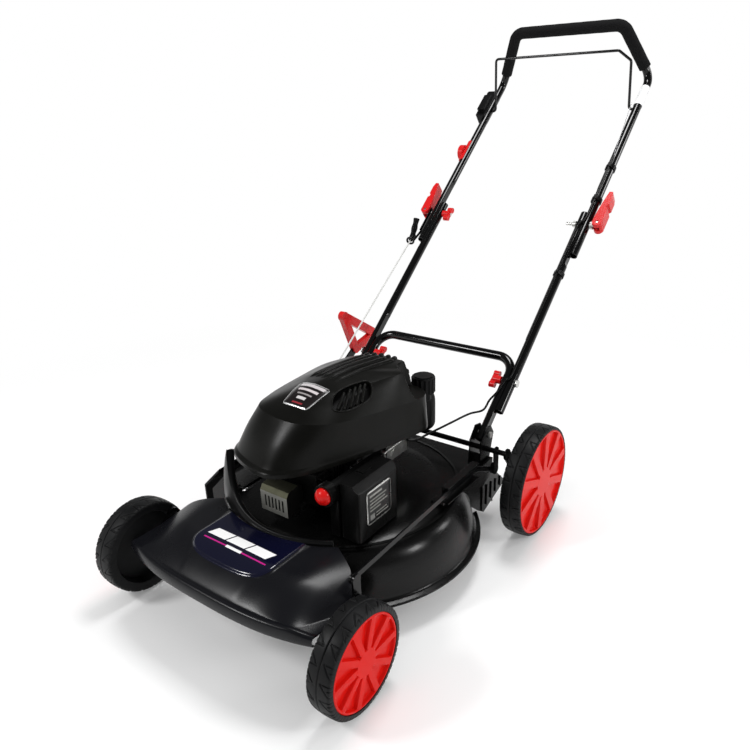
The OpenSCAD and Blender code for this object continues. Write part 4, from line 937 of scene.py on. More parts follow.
@dataclass
class Handle:
    """Three folding tube sections, the grip, the bail and their small pieces."""

    radius: float = 11.0
    inner: float = 9.5
    leg_x: float = 193.0
    mid_x: float = 207.0
    top_x: float = 221.0
    leg_s: float = 337.0
    crossbar_s: float = 555.0
    mid_low: float = 414.0
    mid_high: float = 1000.0
    top_low: float = 867.0
    bend_s: float = 1496.0
    grip_half: float = 156.0
    grip_h: float = 142.0
    foam: float = 5.0
    bail_s: float = 1374.0
    bail_l: float = 147.0
    bail_r: float = 3.5
    lower_flat: float = 199.85
    mid_flats: tuple[float, float] = (200.15, 213.85)
    top_flat: float = 214.15
    flat_depth: float = 4.2

    def lower(self) -> None:
        """U-shaped lower tube, flattened outside where the middle tubes lie on it."""
        points = [SLOPE.at(-self.leg_x, self.leg_s), SLOPE.at(-self.leg_x, self.crossbar_s),
                  SLOPE.at(self.leg_x, self.crossbar_s), SLOPE.at(self.leg_x, self.leg_s)]
        path = fine(bent(points, [44 * MM] * 2), 0.012)

        def press(grid: np.ndarray) -> np.ndarray:
            """Both sides are clipped at the same distance from the middle plane."""
            out = grid.copy()
            reach = self.lower_flat * MM - flat_inset(len(grid))
            out[..., 0] = np.clip(grid[..., 0], -reach, reach)
            return out

        made = tube("lower_tube", path, self.radius * MM, 44, dress(Look.TUBE),
                    self.inner * MM, change=press)
        settle(made, "lower_handle")

    def middle(self) -> None:
        """Two straight tubes with a flat inside below and outside above, and the clip."""
        for side in Side:
            s = np.unique(np.concatenate([np.linspace(self.mid_low, self.mid_high, 60),
                                          [600, 604, 608, 612, 830, 834, 838, 842]]))
            path = np.array([SLOPE.at(side.value * self.mid_x, v) for v in s])

            def press(grid: np.ndarray, sign: int = side.value) -> np.ndarray:
                """The inner flat ends at s 609, the outer one starts at s 836."""
                at = SLOPE.along(grid)
                low, high = self.mid_flats
                low = (low - self.flat_depth * step(at, 603, 613)) * MM + flat_inset(len(grid))
                high = ((high + self.flat_depth * (1 - step(at, 832, 842))) * MM
                        - flat_inset(len(grid)))
                out = grid.copy()
                out[..., 0] = sign * np.clip(sign * grid[..., 0], low, high)
                return out

            made = tube(f"mid_tube_{side.name.lower()}", path, self.radius * MM, 44,
                        dress(Look.TUBE), self.inner * MM, change=press)
            settle(made, "mid_handle")
        self.clip("mid_clip", self.mid_x, 800.0, "mid_handle")

    @staticmethod
    def clip(name: str, x: float, s: float, node: str) -> None:
        """Plastic clip round a tube: a short sleeve whose top rises to a saddle.

        The sleeve's radius is 13.4 plus a bump of 5 times the 14th power of the cosine towards
        the top of the tube.
        """
        t = np.linspace(0, TURN, 64, endpoint=False)
        rise = np.clip(np.cos(t), 0, 1) ** 14
        outer = 13.4 + 5.0 * rise
        bore = np.full_like(t, 11.15)
        rows = [np.stack([x + r * np.sin(t), np.full_like(t, s + place), r * np.cos(t)])
                for r, place in ((bore, 0.0), (outer - 0.5, 0.0), (outer, 0.8), (outer, 11.2),
                                 (outer - 0.5, 12.0), (bore, 12.0))]
        grid = np.moveaxis(SLOPE.at(*np.stack(rows, axis=1)), 0, -1)
        made = surface(name, grid, round_rows=True, round_columns=True,
                       material=dress(Look.BLACK))
        settle(made, node)

    def upper(self) -> None:
        """Upper tube: two legs, a bend forward and the grip bar."""
        corner = SLOPE.at(self.grip_half, self.bend_s + 36, self.grip_h)
        flip = np.array([-1, 1, 1])
        points = [SLOPE.at(-self.top_x, self.top_low), SLOPE.at(-self.top_x, self.bend_s),
                  corner * flip, corner, SLOPE.at(self.top_x, self.bend_s),
                  SLOPE.at(self.top_x, self.top_low)]
        path = fine(bent(points, [38 * MM, 32 * MM, 32 * MM, 38 * MM]), 0.012)

        def press(grid: np.ndarray) -> np.ndarray:
            """The inner flats reach up to s 1074."""
            at = SLOPE.along(grid)
            low = ((self.top_flat - self.flat_depth * step(at, 1068, 1080)) * MM
                   + flat_inset(len(grid)))
            x = grid[..., 0]
            out = grid.copy()
            out[..., 0] = np.where(at < 1082, np.sign(x) * np.maximum(np.abs(x), low), x)
            return out

        made = tube("upper_tube", path, self.radius * MM, 44, dress(Look.TUBE),
                    self.inner * MM, change=press)
        settle(made, "upper_handle")
        bend = SLOPE.at(self.top_x, self.bend_s)
        a = bend + (corner - bend) * 0.14 + unit(corner - bend) * 8 * MM
        route = fine(bent([a * flip, corner * flip, corner, a], [32 * MM] * 2), 0.006)
        wave = np.arange(len(route))
        thick = (self.radius + self.foam) * MM - 0.00025 * (1 - np.cos(wave * 0.9)) * 0.5
        foam = tube("foam_sleeve", route, thick, 48, dress(Look.FOAM))
        settle(foam, "foam_grip")

    def bail_wire(self) -> None:
        """Bent wire that the fingers draw to the grip."""
        lean = math.radians(6)
        base = SLOPE.at(0, self.bail_s)
        x = self.top_x - self.radius - 6 - self.bail_r

        def at(px: float, run: float) -> np.ndarray:
            """Point on the bail's own plane."""
            return base + np.array([px, -run * math.sin(lean), run * math.cos(lean)]) * MM

        end = self.top_x - 3
        points = [at(-end, 0), at(-x, 0), at(-x + 4, self.bail_l * 0.98), at(x - 36, self.bail_l),
                  at(x - 2, self.bail_l - 26), at(x, 0), at(end, 0)]
        wire = tube("bail_wire", fine(bent(points, [9 * MM] * 5, 12), 0.01), self.bail_r * MM, 24,
                    dress(Look.TUBE), reference=(0.1, -1, 0.05))
        settle(wire, "bail")

    def fittings(self) -> None:
        """Brackets, bolts, levers, knobs, the rope guide, the switch box and the sleeve."""
        skins(("handle_brackets", Look.BRACKET, 0.8), ("clamp_bolts", Look.ZINC, 0.5),
              ("clamp_lever_left", Look.LEVER, 2.0), ("clamp_lever_right", Look.LEVER, 2.0),
              ("knob_lower_left", Look.LEVER, 1.4), ("knob_lower_right", Look.LEVER, 1.4),
              ("knob_upper_left", Look.LEVER, 1.4), ("rope_guide", Look.TUBE, 0.4),
              ("switch_box", Look.BLACK, 2.2))
        trim = cad_skin("handle_trim", dress(Look.BLACK), bevel=0.8)
        repaint(trim, Look.LEVER, lambda c: c[:, 0] < 0)
        repaint(trim, Look.SLEEVE, lambda c: (c[:, 0] > 0) & (SLOPE.along(c) > 1300))

    def build(self) -> None:
        """Builds every piece of the handle."""
        self.lower()
        self.middle()
        self.upper()
        self.bail_wire()
        self.fittings()


def fine(path: np.ndarray, longest: float) -> np.ndarray:
    """Adds points on the straight runs of a path, so that none is longer than a limit."""
    parts = []
    for p, q in zip(path[:-1], path[1:]):
        count = max(1, int(math.ceil(float(np.linalg.norm(q - p)) / longest)))
        parts.append(p + (q - p) * (np.arange(count) / count)[:, None])
    return np.vstack(parts + [path[-1:]])


# ---------------------------------------------------------------- cords


@dataclass
class Cords:
    """Brake cable and starter rope, on the same routes as their solids."""

    cable_r: float = 2.5
    rope_r: float = 2.0
    eye: tuple[float, float, float] = (-258.0, 645.0, 550.0)
    drum: tuple[float, float, float] = (-128.4, 91.1, 330.8)
    split_x: float = -194.0
    wire_end: float = 1368.0

    def cable(self) -> None:
        """Black cable from the engine to the right leg and up to the bail."""
        top = 11 + self.cable_r + 0.2
        low = [np.array(p) * MM for p in ((104, 80, 262), (104, 112, 247), (112, 160, 246),
                                          (128, 210, 251), (150, 262, 260))]
        low += [SLOPE.at(171, 408, 4), SLOPE.at(180, 432, 12.5), SLOPE.at(190, 456, top + 0.3),
                SLOPE.at(196.4, 490, top)]
        mid = [SLOPE.at(x, s, top) for x, s in ((203.2, 494), (206.5, 525), (207, 700))]
        path = spline(np.array(low + mid + [SLOPE.at(207, 806, top)]), 10)
        first = tube("brake_cable_low", path, self.cable_r * MM, 20, dress(Look.CABLE),
                     reference=(0.31, -0.2, 0.93))
        bridge(first, "deck", "mid_handle", SLOPE.at(196.4, 488, top), SLOPE.at(203.2, 497, top),
               ("cable_lower", "cable_middle"))
        mid = [SLOPE.at(207, s, top) for s in (804, 830, 935)]
        high = [SLOPE.at(210.6, 964, top), SLOPE.at(217.4, 968, top)]
        high += [SLOPE.at(221, s, top) for s in (995, 1060, 1120, 1190)]
        second = tube("brake_cable_high", spline(np.array(mid + high), 10), self.cable_r * MM, 20,
                      dress(Look.CABLE), reference=(0.31, -0.2, 0.93))
        bridge(second, "mid_handle", "upper_handle", SLOPE.at(210.6, 962, top),
               SLOPE.at(217.4, 970, top), ("cable_upper",))
        wire = np.linspace(SLOPE.at(221, 1188, top), SLOPE.at(213, self.wire_end, 26), 6)
        core = tube("brake_wire", wire, 0.8 * MM, 10, dress(Look.STEEL))
        settle(core, "cable_upper")

    def rope(self) -> None:
        """White rope, taut from the engine to the eye on the handle."""
        eye, drum = np.array(self.eye) * MM, np.array(self.drum) * MM
        split = drum + (eye - drum) * (self.split_x * MM - drum[0]) / (eye[0] - drum[0])
        way = unit(eye - drum)
        route = fine(np.array([drum, eye]), 0.01)
        rope = tube("starter_rope", route, self.rope_r * MM, 20, dress(Look.ROPE),
                    reference=(0.31, -0.2, 0.93))
        bridge(rope, "deck", "mid_handle", split - way * 0.004, split + way * 0.004,
               ("starter_rope_lower", "starter_rope_upper"))

    def grip(self) -> None:
        """T-grip with a waist: a bar whose radius swells at its ends, and its stem."""
        eye = np.array(self.eye)
        way = unit(eye - np.array(self.drum))
        middle = eye + way * 30 + np.array([0, 0, 10])
        axis = unit(np.array([0.0, 27.0, 55.0]))
        t = np.linspace(-19, 38, 40)
        swell = 8.2 + 0.8 * np.cos((t - 9.5) / 57 * 4 * math.pi)
        bar = tube("starter_bar", (middle + axis * t[:, None]) * MM, swell * MM, 32,
                   dress(Look.BLACK), reference=(1, 0, 0))
        settle(bar, "starter_grip")
        stem = np.linspace(eye + way * 3.3, eye + way * 28, 8)
        neck = tube("starter_stem", stem * MM, np.linspace(6.0, 8.0, 8) * MM, 28,
                    dress(Look.BLACK), reference=(0, 0, 1))
        settle(neck, "starter_grip")
        run = fine(np.array([eye + way * 8, eye - way * 275]) * MM, 0.01)
        core = tube("starter_core", run, 1.5 * MM, 16, dress(Look.ROPE),
                    reference=(0.31, -0.2, 0.93))
        settle(core, "starter_grip")

    def build(self) -> None:
        """Builds the cords."""
        self.cable()
        self.rope()
        self.grip()


# ---------------------------------------------------------------- wheels


@dataclass
class Wheel:
    """One wheel: tyre with its tread, and the red spoked cover."""

    node: str
    cover: str
    side: Side
    radius: float
    band: float
    track: float
    axle: tuple[float, float]
    cells: int
    turn: float
    width: float = 48.0
    depth: float = 9.0
    groove: float = 1.7
    half_groove: float = 1.2
    spokes: int = 10
    pocket: float = 6.6

    def place(self, local: np.ndarray) -> np.ndarray:
        """Puts [in-plane, in-plane, across] mm on the axle, in metres."""
        return np.stack([self.side.value * (self.track - self.width + local[..., 2]),
                         self.axle[0] + local[..., 0], self.axle[1] + local[..., 1]], -1) * MM

    def tread(self, angle: np.ndarray, rh: np.ndarray) -> np.ndarray:
        """Cuts the tread: the radius drops by the groove's depth near the lines of a pattern.

        The pattern has open triangles from the outer edge and, half a cell on, from the inner
        edge. The drop falls off smoothly with the distance from the nearest line.
        """
        pitch = TURN * self.radius / self.cells
        along = np.mod(angle * self.radius, pitch) - pitch / 2
        z = rh[..., 1]
        lines = [((-11, 51), (-11, 30)), ((-11, 30), (13, 51)), ((-3, 51), (-3, 44)),
                 ((11 - pitch / 2, -3), (11 - pitch / 2, 18)),
                 ((11 - pitch / 2, 18), (-13 - pitch / 2, -3)),
                 ((3 - pitch / 2, -3), (3 - pitch / 2, 4))]
        best = np.full(z.shape, 99.0)
        for (a, b), (c, d) in lines:
            for shift in (-pitch, 0.0, pitch):
                ax, az, bx, bz = a + shift, b, c + shift, d
                ux, uz = bx - ax, bz - az
                t = np.clip(((along - ax) * ux + (z - az) * uz) / (ux * ux + uz * uz), 0, 1)
                best = np.minimum(best, np.hypot(along - ax - ux * t, z - az - uz * t))
        best = np.minimum(best, np.abs(z - self.width / 2) + 0.3)
        drop = self.groove * (1 - step(best, self.half_groove * 0.45, self.half_groove * 1.35))
        drop = drop * (rh[..., 0] > self.radius - 6.6)
        out = rh.copy()
        out[..., 0] -= drop
        return out

    def tyre(self) -> None:
        """Black wheel body with a ribbed band outside; the cover sits in its dish."""
        r, inner = self.radius, self.radius - self.band
        tread = np.array([[r - 6, 0.0], [r - 3.4, 0.9], [r - 2.0, 3.0], [r - 1.3, 5.6],
                          [r - 0.35, 14], [r, 24], [r - 0.35, 34], [r - 1.3, 42.6],
                          [r - 2.2, 45.4], [r - 4.2, 47.1]])
        tread = fine(spline(tread, 4), 0.85)
        start = np.array([[6.05, 0.0], [16, 0], [16, 20], [inner - 12, 24], [inner - 9, 4],
                          [inner - 8, 2]])
        end = np.array([[inner + 0.3, 48], [inner + 0.1, 47.4], [inner + 0.1, 38], [inner - 8, 38],
                        [inner - 10, 30], [16, 28], [16, 38], [6.05, 38]])
        profile = np.vstack([fine(start, 6.0), tread, end])
        count = 960 if r > 110 else 760
        turned = revolve(f"{self.node}_tyre", profile, count, self.place, dress(Look.TYRE),
                         sharp=42, closed=True, change=self.tread)
        settle(turned, self.node)

    def disc(self) -> None:
        """Red cover: even spokes between recessed pockets.

        The angular lines follow the spokes' edges, because a sector is split at its pocket's
        half angle; the pocket's depth is the product of two smooth steps, across and along.
        """
        r = self.radius - self.band
        hub, edge = r * 0.25 + 4, r - 5
        near, far = 2.6, 40.0
        sector = TURN / self.spokes
        radial = np.concatenate([np.linspace(0.0, hub - 1.2, 9), hub + np.linspace(-0.9, 2.4, 8),
                                 np.linspace(hub + 5, edge - 5, 20),
                                 edge + np.linspace(-2.4, 0.9, 8),
                                 [r - 3.2, r - 1.8, r - 0.9, r - 0.25, r, r, r * 0.5, 0.0]])
        cross = np.concatenate([np.linspace(-1.0, near, 9), np.linspace(5.0, far, 5)])
        spoke = np.arcsin(np.clip(0.08 * r / np.maximum(radial, 8), 0, 1))
        lean = np.maximum(sector / 2 - spoke, 0.10)
        half_width = lean * radial
        share = (cross[None, :] - near) / (far - near)
        reach = np.where(share <= 0, cross[None, :],
                         near + (half_width[:, None] - near) * share)
        reach = np.minimum(reach, half_width[:, None])
        q = np.maximum(radial, 1e-6)[:, None]
        off = lean[:, None] - reach / q
        off[:, 0] = sector / 2
        off[:, -1] = 0.0
        off = np.clip(off, 0.0, sector / 2)
        signed = np.concatenate([-off[:, :-1], off[:, ::-1]], axis=1)[:, :-1]
        d_side = np.concatenate([reach[:, :-1], reach[:, ::-1]], axis=1)[:, :-1]
        d_side[:, 0] = -5.0
        angle = (math.radians(self.turn) + np.arange(self.spokes)[None, :, None] * sector
                 + signed[:, None, :]).reshape(len(radial), -1)
        d_side = np.repeat(d_side[:, None, :], self.spokes, axis=1).reshape(len(radial), -1)
        d_round = np.minimum(radial - hub, edge - radial)[:, None]
        depth = self.pocket * step(d_side, -0.8, 1.8) * step(d_round, -0.8, 1.8)
        swell = 0.5 * (1 - (radial / r) ** 2)[:, None]
        z = np.full(angle.shape, self.width) - 0.55 + swell - depth
        rows = len(radial)
        lip = np.zeros(rows)
        lip[-8:] = [0, 0.1, 0.5, 1.3, 2.6, self.depth, self.depth, self.depth]
        z = z - lip[:, None]
        z[-3:] = self.width - self.depth - 0.5
        local = np.stack([radial[:, None] * np.cos(angle), radial[:, None] * np.sin(angle), z], -1)
        made = surface(f"{self.cover}_disc", self.place(local), round_columns=True,
                       material=dress(Look.RED), sharp=50)
        settle(made, self.cover)

    def build(self) -> None:
        """Builds the wheel."""
        self.tyre()
        self.disc()


def wheels() -> list[Wheel]:
    """The four wheels."""
    made = []
    for side in Side:
        word = side.name.lower()
        made.append(Wheel(f"wheel_front_{word}", f"cover_front_{word}", side, 97.0, 12.7, 301.5,
                          (-335.0, 97.0), 20, 18.0))
        made.append(Wheel(f"wheel_rear_{word}", f"cover_rear_{word}", side, 127.0, 7.7, 329.0,
                          (289.0, 127.0), 26, 32.0))
    return made


# ---------------------------------------------------------------- shroud


@dataclass
class Shroud:
    """Moulded hood over the engine: flared rim, sharp crease, ribs, one vent and a plate."""

    top: float = 431.0
    wall: float = 3.0
    rim: tuple = ((-10, -243, 297), (42, -222, 297), (80, -160, 297), (116, -60, 297),
                  (138, 25, 297), (148, 88, 297), (112, 119, 297), (20, 126, 297),
                  (-92, 122, 297), (-139, 82, 297), (-147, 0, 297), (-142, -105, 297),
                  (-112, -205, 297))
    crease: tuple = ((-12, -174, 384), (44, -165, 383), (87, -126, 381), (112, -54, 376),
                     (132, 20, 372), (145, 80, 370), (116, 114, 386), (18, 122, 400),
                     (-82, 114, 394), (-114, 82, 390), (-118, 0, 386), (-110, -95, 384),
                     (-84, -154, 385))
    top_edge: tuple = ((-4, -98, 419), (36, -92, 419), (66, -66, 420), (90, -10, 423),
                       (112, 44, 426), (118, 84, 424), (92, 104, 426), (22, 110, 427),
                       (-24, 104, 421), (-46, 80, 418), (-50, 10, 418), (-48, -42, 416),
                       (-32, -86, 416))
    posts: tuple = ((88, 52), (-88, 52), (34, -128), (-34, -128))
    recess: tuple = (127, 99, 46, 371)
    rib_front: tuple = ((-46, -50), (-28, -53), (-10, -56), (9, -60), (28, -62))
    rib_back: tuple = ((-14, 92), (5, 94), (24, 95), (43, 95), (62, 94))
    beads: tuple = ((-12, 103), (5, 106), (22, 108), (39, 109), (55, 109), (69, 111), (79, 117))
    slots: tuple = (((70.0, -106.2), (64.1, -80.0)), ((79.0, -99.6), (68.5, -65.8)),
                    ((85.0, -87.6), (72.0, -52.3)), ((88.7, -73.9), (75.1, -40.3)),
                    ((92.2, -60.5), (79.0, -29.5)), ((95.2, -48.0), (84.0, -22.7)))
    frame_line: tuple = ((60.7, -104.8), (72.5, -111.4), (85.8, -96), (93.3, -72), (98.4, -45),
                         (97.0, -27), (88.0, -16.5), (74.3, -20), (63.1, -42.5), (56.4, -66.7),
                         (54.9, -88.7))
    vent_way: tuple = (0.62, -0.12, 0.78)
    vent_depth: float = 13.0
    fin: tuple[float, float] = (2.9, 3.4)
    fin_sink: float = 3.0
    bead: tuple[float, float] = (1.5, 1.3)
    rib: tuple[float, float] = (5.4, 4.4)
    plate_corners: tuple = ((-33.5, -141.5), (28.6, -142.3), (43.6, -83.1), (-42.3, -72.4))
    plate_z: tuple = (399.8, 399.3, 419.9, 415.0)

    @staticmethod
    def ring(a: tuple, b: tuple, t: float, scale: float = 1.0, top: float = 0.0) -> np.ndarray:
        """Smooth ring between two outlines, drawn in towards the middle and up to a height."""
        middle = np.array([14.0, -6.0, top])
        p = np.asarray(a, float) + (np.asarray(b, float) - np.asarray(a, float)) * t
        return spline(middle + (p - middle) * scale, 28, closed=True)

    def outside(self) -> np.ndarray:
        """Rings from the rim up: a spline up the wall, a sharp crease, a spline to the top."""
        up = np.array([0.0, 0.0, 1.0])
        lower = [self.ring(self.rim, self.rim, 0.0),
                 self.ring(self.rim, self.rim, 0.0) + up * 8,
                 self.ring(self.rim, self.crease, 0.12) + up * 3,
                 self.ring(self.rim, self.crease, 0.5) + up * 6,
                 self.ring(self.crease, self.crease, 1.0)]
        upper = [lower[-1], self.ring(self.crease, self.top_edge, 0.5) + up * 0.5,
                 self.ring(self.crease, self.top_edge, 1.0),
                 self.ring(self.crease, self.top_edge, 1.0, 0.55, self.top + 4),
                 self.ring(self.crease, self.top_edge, 1.0, 0.05, self.top + 1)]
        rows = []
        for stack, counts in ((lower, (3, 4, 9, 10)), (upper, (16, 16, 14, 10))):
            flat = np.array(stack)
            q = np.concatenate([flat[:1] * 2 - flat[1:2], flat, flat[-1:] * 2 - flat[-2:-1]])
            for i, count in enumerate(counts):
                t = (np.arange(count) / count)[:, None, None]
                b, c = q[i + 1], q[i + 2]
                m0, m1 = (q[i + 2] - q[i]) / 2, (q[i + 3] - q[i + 1]) / 2
                limit = 1.2 * np.abs(c - b) + 1e-9
                m0, m1 = np.clip(m0, -limit, limit), np.clip(m1, -limit, limit)
                rows.append((2 * t ** 3 - 3 * t ** 2 + 1) * b + (t ** 3 - 2 * t ** 2 + t) * m0
                            + (3 * t ** 2 - 2 * t ** 3) * c + (t ** 3 - t ** 2) * m1)
        rows.append(upper[-1][None])
        skin = np.concatenate(rows)
        away = np.hypot(skin[..., 0] - self.recess[0], skin[..., 1] - self.recess[1])
        inside = step(self.recess[2] - away, 0.0, 6.0)
        skin[..., 2] += inside * np.minimum(self.recess[3] - skin[..., 2], 0.0)
        return skin

    def hood(self) -> None:
        """Closed shell: the outside, then an inner wall a moulding's thickness in."""
        out = self.outside()
        pole = np.broadcast_to(out[-1].mean(axis=0), out[-1:].shape)
        inner_rows = out[np.r_[0, 8:len(out):6]].copy()
        t = self.wall
        inner = inner_rows - np.stack([inner_rows[..., 0] * t / 110,
                                       (inner_rows[..., 1] + 20) * t / 140,
                                       np.full(inner_rows.shape[:2], t)], -1)
        inner[0, :, 2] = out[0, 0, 2]
        in_pole = np.broadcast_to(inner[-1].mean(axis=0), inner[-1:].shape)
        grid = np.concatenate([in_pole, inner[::-1], out, pole])
        shell = surface("hood", grid * MM, round_columns=True, material=dress(Look.SHROUD),
                        sharp=13)
        pocket = prism(self.vent_ring(0.95), unit(np.array(self.vent_way)), -self.vent_depth,
                       self.vent_depth)
        carve(shell, pocket, 13)
        settle(shell, "engine_shroud")
        for i, (x, y) in enumerate(self.posts):
            post = np.array([(x, y, z) for z in (264.0 if y < 0 else 268.0, 300.0, 390.0)])
            leg = tube(f"hood_post_{i}", post * MM, 6 * MM, 24, dress(Look.SHROUD),
                       reference=(1, 0, 0))
            settle(leg, "engine_shroud")

    def laid(self, line: np.ndarray, lift: float = 0.0) -> np.ndarray:
        """Points in plan, laid on the hood's top and lifted."""
        return np.column_stack([line, self.height(line[:, 0], line[:, 1]) + lift])

    def vent_ring(self, scale: float) -> np.ndarray:
        """The vent's outline on the hood, scaled about its middle."""
        line = spline(self.frame_line, 6, closed=True)
        middle = line.mean(axis=0)
        return self.laid(middle + (line - middle) * scale)

    def vent_shade_pan(self) -> None:
        """Dark pan behind the vent, so that nothing shows through the hood: a black sheet that
        stands in for the shade inside the hood.
        """
        pan = prism(self.vent_ring(1.08), unit(np.array(self.vent_way)), -11, -12.5)
        made = surface("hood_vent_back", pan, round_columns=True, material=dress(Look.BLACK))
        settle(made, "engine_shroud")

    def louvres(self) -> None:
        """Slanted fins across the vent: a lens section carried from edge to edge."""
        starts, ends = np.array([s[0] for s in self.slots]), np.array([s[1] for s in self.slots])
        out = unit(np.array(self.vent_way))
        for i in range(len(starts) - 1):
            a, b = (starts[i] + starts[i + 1]) / 2, (ends[i] + ends[i + 1]) / 2
            s = np.linspace(-0.05, 1.05, 24)[:, None]
            path = self.laid(a + (b - a) * s) - out * self.fin_sink
            along = unit(np.gradient(path, axis=0))
            across = unit(np.cross(along, out))
            t = np.linspace(0, TURN, 20, endpoint=False)[None, :, None]
            grid = (path[:, None] + self.fin[0] * np.cos(t) * across[:, None]
                    + self.fin[1] * np.sin(t) * out)
            made = close_holes(surface(f"hood_louvre_{i}", grid * MM, round_columns=True,
                                       material=dress(Look.SHROUD), sharp=50))
            settle(made, "engine_shroud")

    def vent_frame(self) -> None:
        """Low moulded bead round the slots, laid on the hood."""
        path = self.laid(spline(self.frame_line, 12, closed=True), 0.2)
        along = unit(np.roll(path, -1, axis=0) - np.roll(path, 1, axis=0))
        side = unit(np.cross(along, [0.5, -0.1, 0.86]))
        t = np.linspace(0, TURN, 16, endpoint=False)[:, None, None]
        up = np.cross(side, along)
        grid = (path[None] + self.bead[0] * np.cos(t) * side[None]
                + self.bead[1] * np.sin(t) * up[None])
        made = surface("hood_vent_frame", grid * MM, round_rows=True, round_columns=True,
                       material=dress(Look.SHROUD), sharp=60)
        settle(made, "engine_shroud")

    def ribs(self) -> None:
        """Five round-topped ribs that follow the top and fade into its front.

        A rib's section is a half ellipse; its height grows from nothing over its first fifth.
        """
        for i, (front, back) in enumerate(zip(self.rib_front, self.rib_back)):
            s = np.linspace(0, 1, 70)
            x0, y0 = (np.asarray(front)[:, None] + (np.subtract(back, front))[:, None] * s)
            rise = step(s, 0.0, 0.16) * (1 - step(s, 0.97, 1.0) * 0.3)
            t = np.linspace(0, TURN, 28, endpoint=False)
            half, high = self.rib
            x = x0[:, None] + half * np.cos(t)[None, :] * (0.3 + 0.7 * rise[:, None])
            lift = np.maximum(np.sin(t), -0.5)[None, :] * high * rise[:, None] - 0.6
            grid = np.stack([x, np.broadcast_to(y0[:, None], x.shape),
                             self.height(x0, y0)[:, None] + lift], -1)
            made = close_holes(surface(f"hood_rib_{i}", grid * MM, round_columns=True,
                                       material=dress(Look.SHROUD), sharp=60))
            settle(made, "engine_shroud")

    def bead_row(self) -> None:
        """Round fin ends along the back edge of the top."""
        profile = [[0.0, -6.0], [5.6, -6.0], [5.8, -1.0], [5.2, 2.2], [3.6, 4.3], [1.6, 5.2],
                   [0.0, 5.4]]
        for i, (x, y) in enumerate(self.beads):
            z = float(self.height(np.array([x]), np.array([y]))[0]) - 0.8

            def place(local: np.ndarray, centre: tuple = (x, y, z)) -> np.ndarray:
                """Stretches the bead along the line of travel."""
                return (local * np.array([1.0, 1.35, 1.0]) + np.array(centre)) * MM

            made = revolve(f"hood_bead_{i}", spline(profile, 3), 24, place, dress(Look.SHROUD),
                           sharp=60)
            settle(made, "engine_shroud")

    def height(self, x: np.ndarray, y: np.ndarray) -> np.ndarray:
        """Height of the top over a place: nearest samples weighted by 1 / distance^2."""
        top = self.outside()[24:].reshape(-1, 3)
        square = (x[..., None] - top[:, 0]) ** 2 + (y[..., None] - top[:, 1]) ** 2
        near = np.argsort(square, axis=-1)[..., :6]
        weight = 1 / (np.take_along_axis(square, near, axis=-1) + 0.01)
        return (top[near][..., 2] * weight).sum(axis=-1) / weight.sum(axis=-1)

    def label(self) -> None:
        """Bare plate with bars, laid on the slope in front of the ribs."""
        corners = [(x, y, z + 0.9) for (x, y), z in zip(self.plate_corners, self.plate_z)]
        made = plate("hood_plate", corners, dress(Look.TOP_PLATE), 0.0)
        points = points_of(made).astype(float) / MM
        under = self.height(points[:, 0], points[:, 1])
        points[:, 2] = np.maximum(points[:, 2], under + 0.7)
        points[:PLATE_POINTS, 2] = under[:PLATE_POINTS] - 0.4
        move_points(made, points * MM)
        settle(made, "engine_shroud")

    def build(self) -> None:
        """Builds the hood and what is on it."""
        self.hood()
        self.vent_frame()
        self.louvres()
        self.vent_shade_pan()
        self.ribs()
        self.bead_row()
        self.label()


def points_of(piece: bpy.types.Object) -> np.ndarray:
    """The piece's points in metres."""
    flat = np.empty(len(piece.data.vertices) * 3, np.float32)
    piece.data.vertices.foreach_get("co", flat)
    return flat.reshape(-1, 3)


def move_points(piece: bpy.types.Object, points: np.ndarray) -> None:
    """Puts the piece's points at new places in metres."""
    piece.data.vertices.foreach_set("co", points.astype(np.float32).ravel())
    piece.data.update()


def squeeze(piece: bpy.types.Object, axis: int, fixed: float, factor: float) -> None:
    """Draws a piece's points towards a plane that stays fixed, by a factor."""
    points = points_of(piece)
    points[:, axis] = fixed * MM + (points[:, axis] - fixed * MM) * factor
    move_points(piece, points)


def carve(piece: bpy.types.Object, cutter: np.ndarray, sharp: float) -> None:
    """Cuts a closed body out of a piece and keeps the result as its mesh.

    Args:
        piece: the object that is cut.
        cutter: the body's rings in metres.
        sharp: edges that turn more than this many degrees stay sharp.
    """
    tool = surface(f"{piece.name}_cutter", cutter, round_columns=True)
    cut = piece.modifiers.new("cut", "BOOLEAN")
    cut.operation = "DIFFERENCE"
    cut.solver = "EXACT"
    cut.object = tool
    graph = bpy.context.evaluated_depsgraph_get()
    done = bpy.data.meshes.new_from_object(piece.evaluated_get(graph))
    piece.modifiers.remove(cut)
    old, name = piece.data, piece.data.name
    piece.data = done
    bpy.data.meshes.remove(old)
    done.name = name
    done.shade_smooth()
    done.set_sharp_from_angle(angle=math.radians(sharp))
    bpy.data.objects.remove(tool)


# ---------------------------------------------------------------- apron


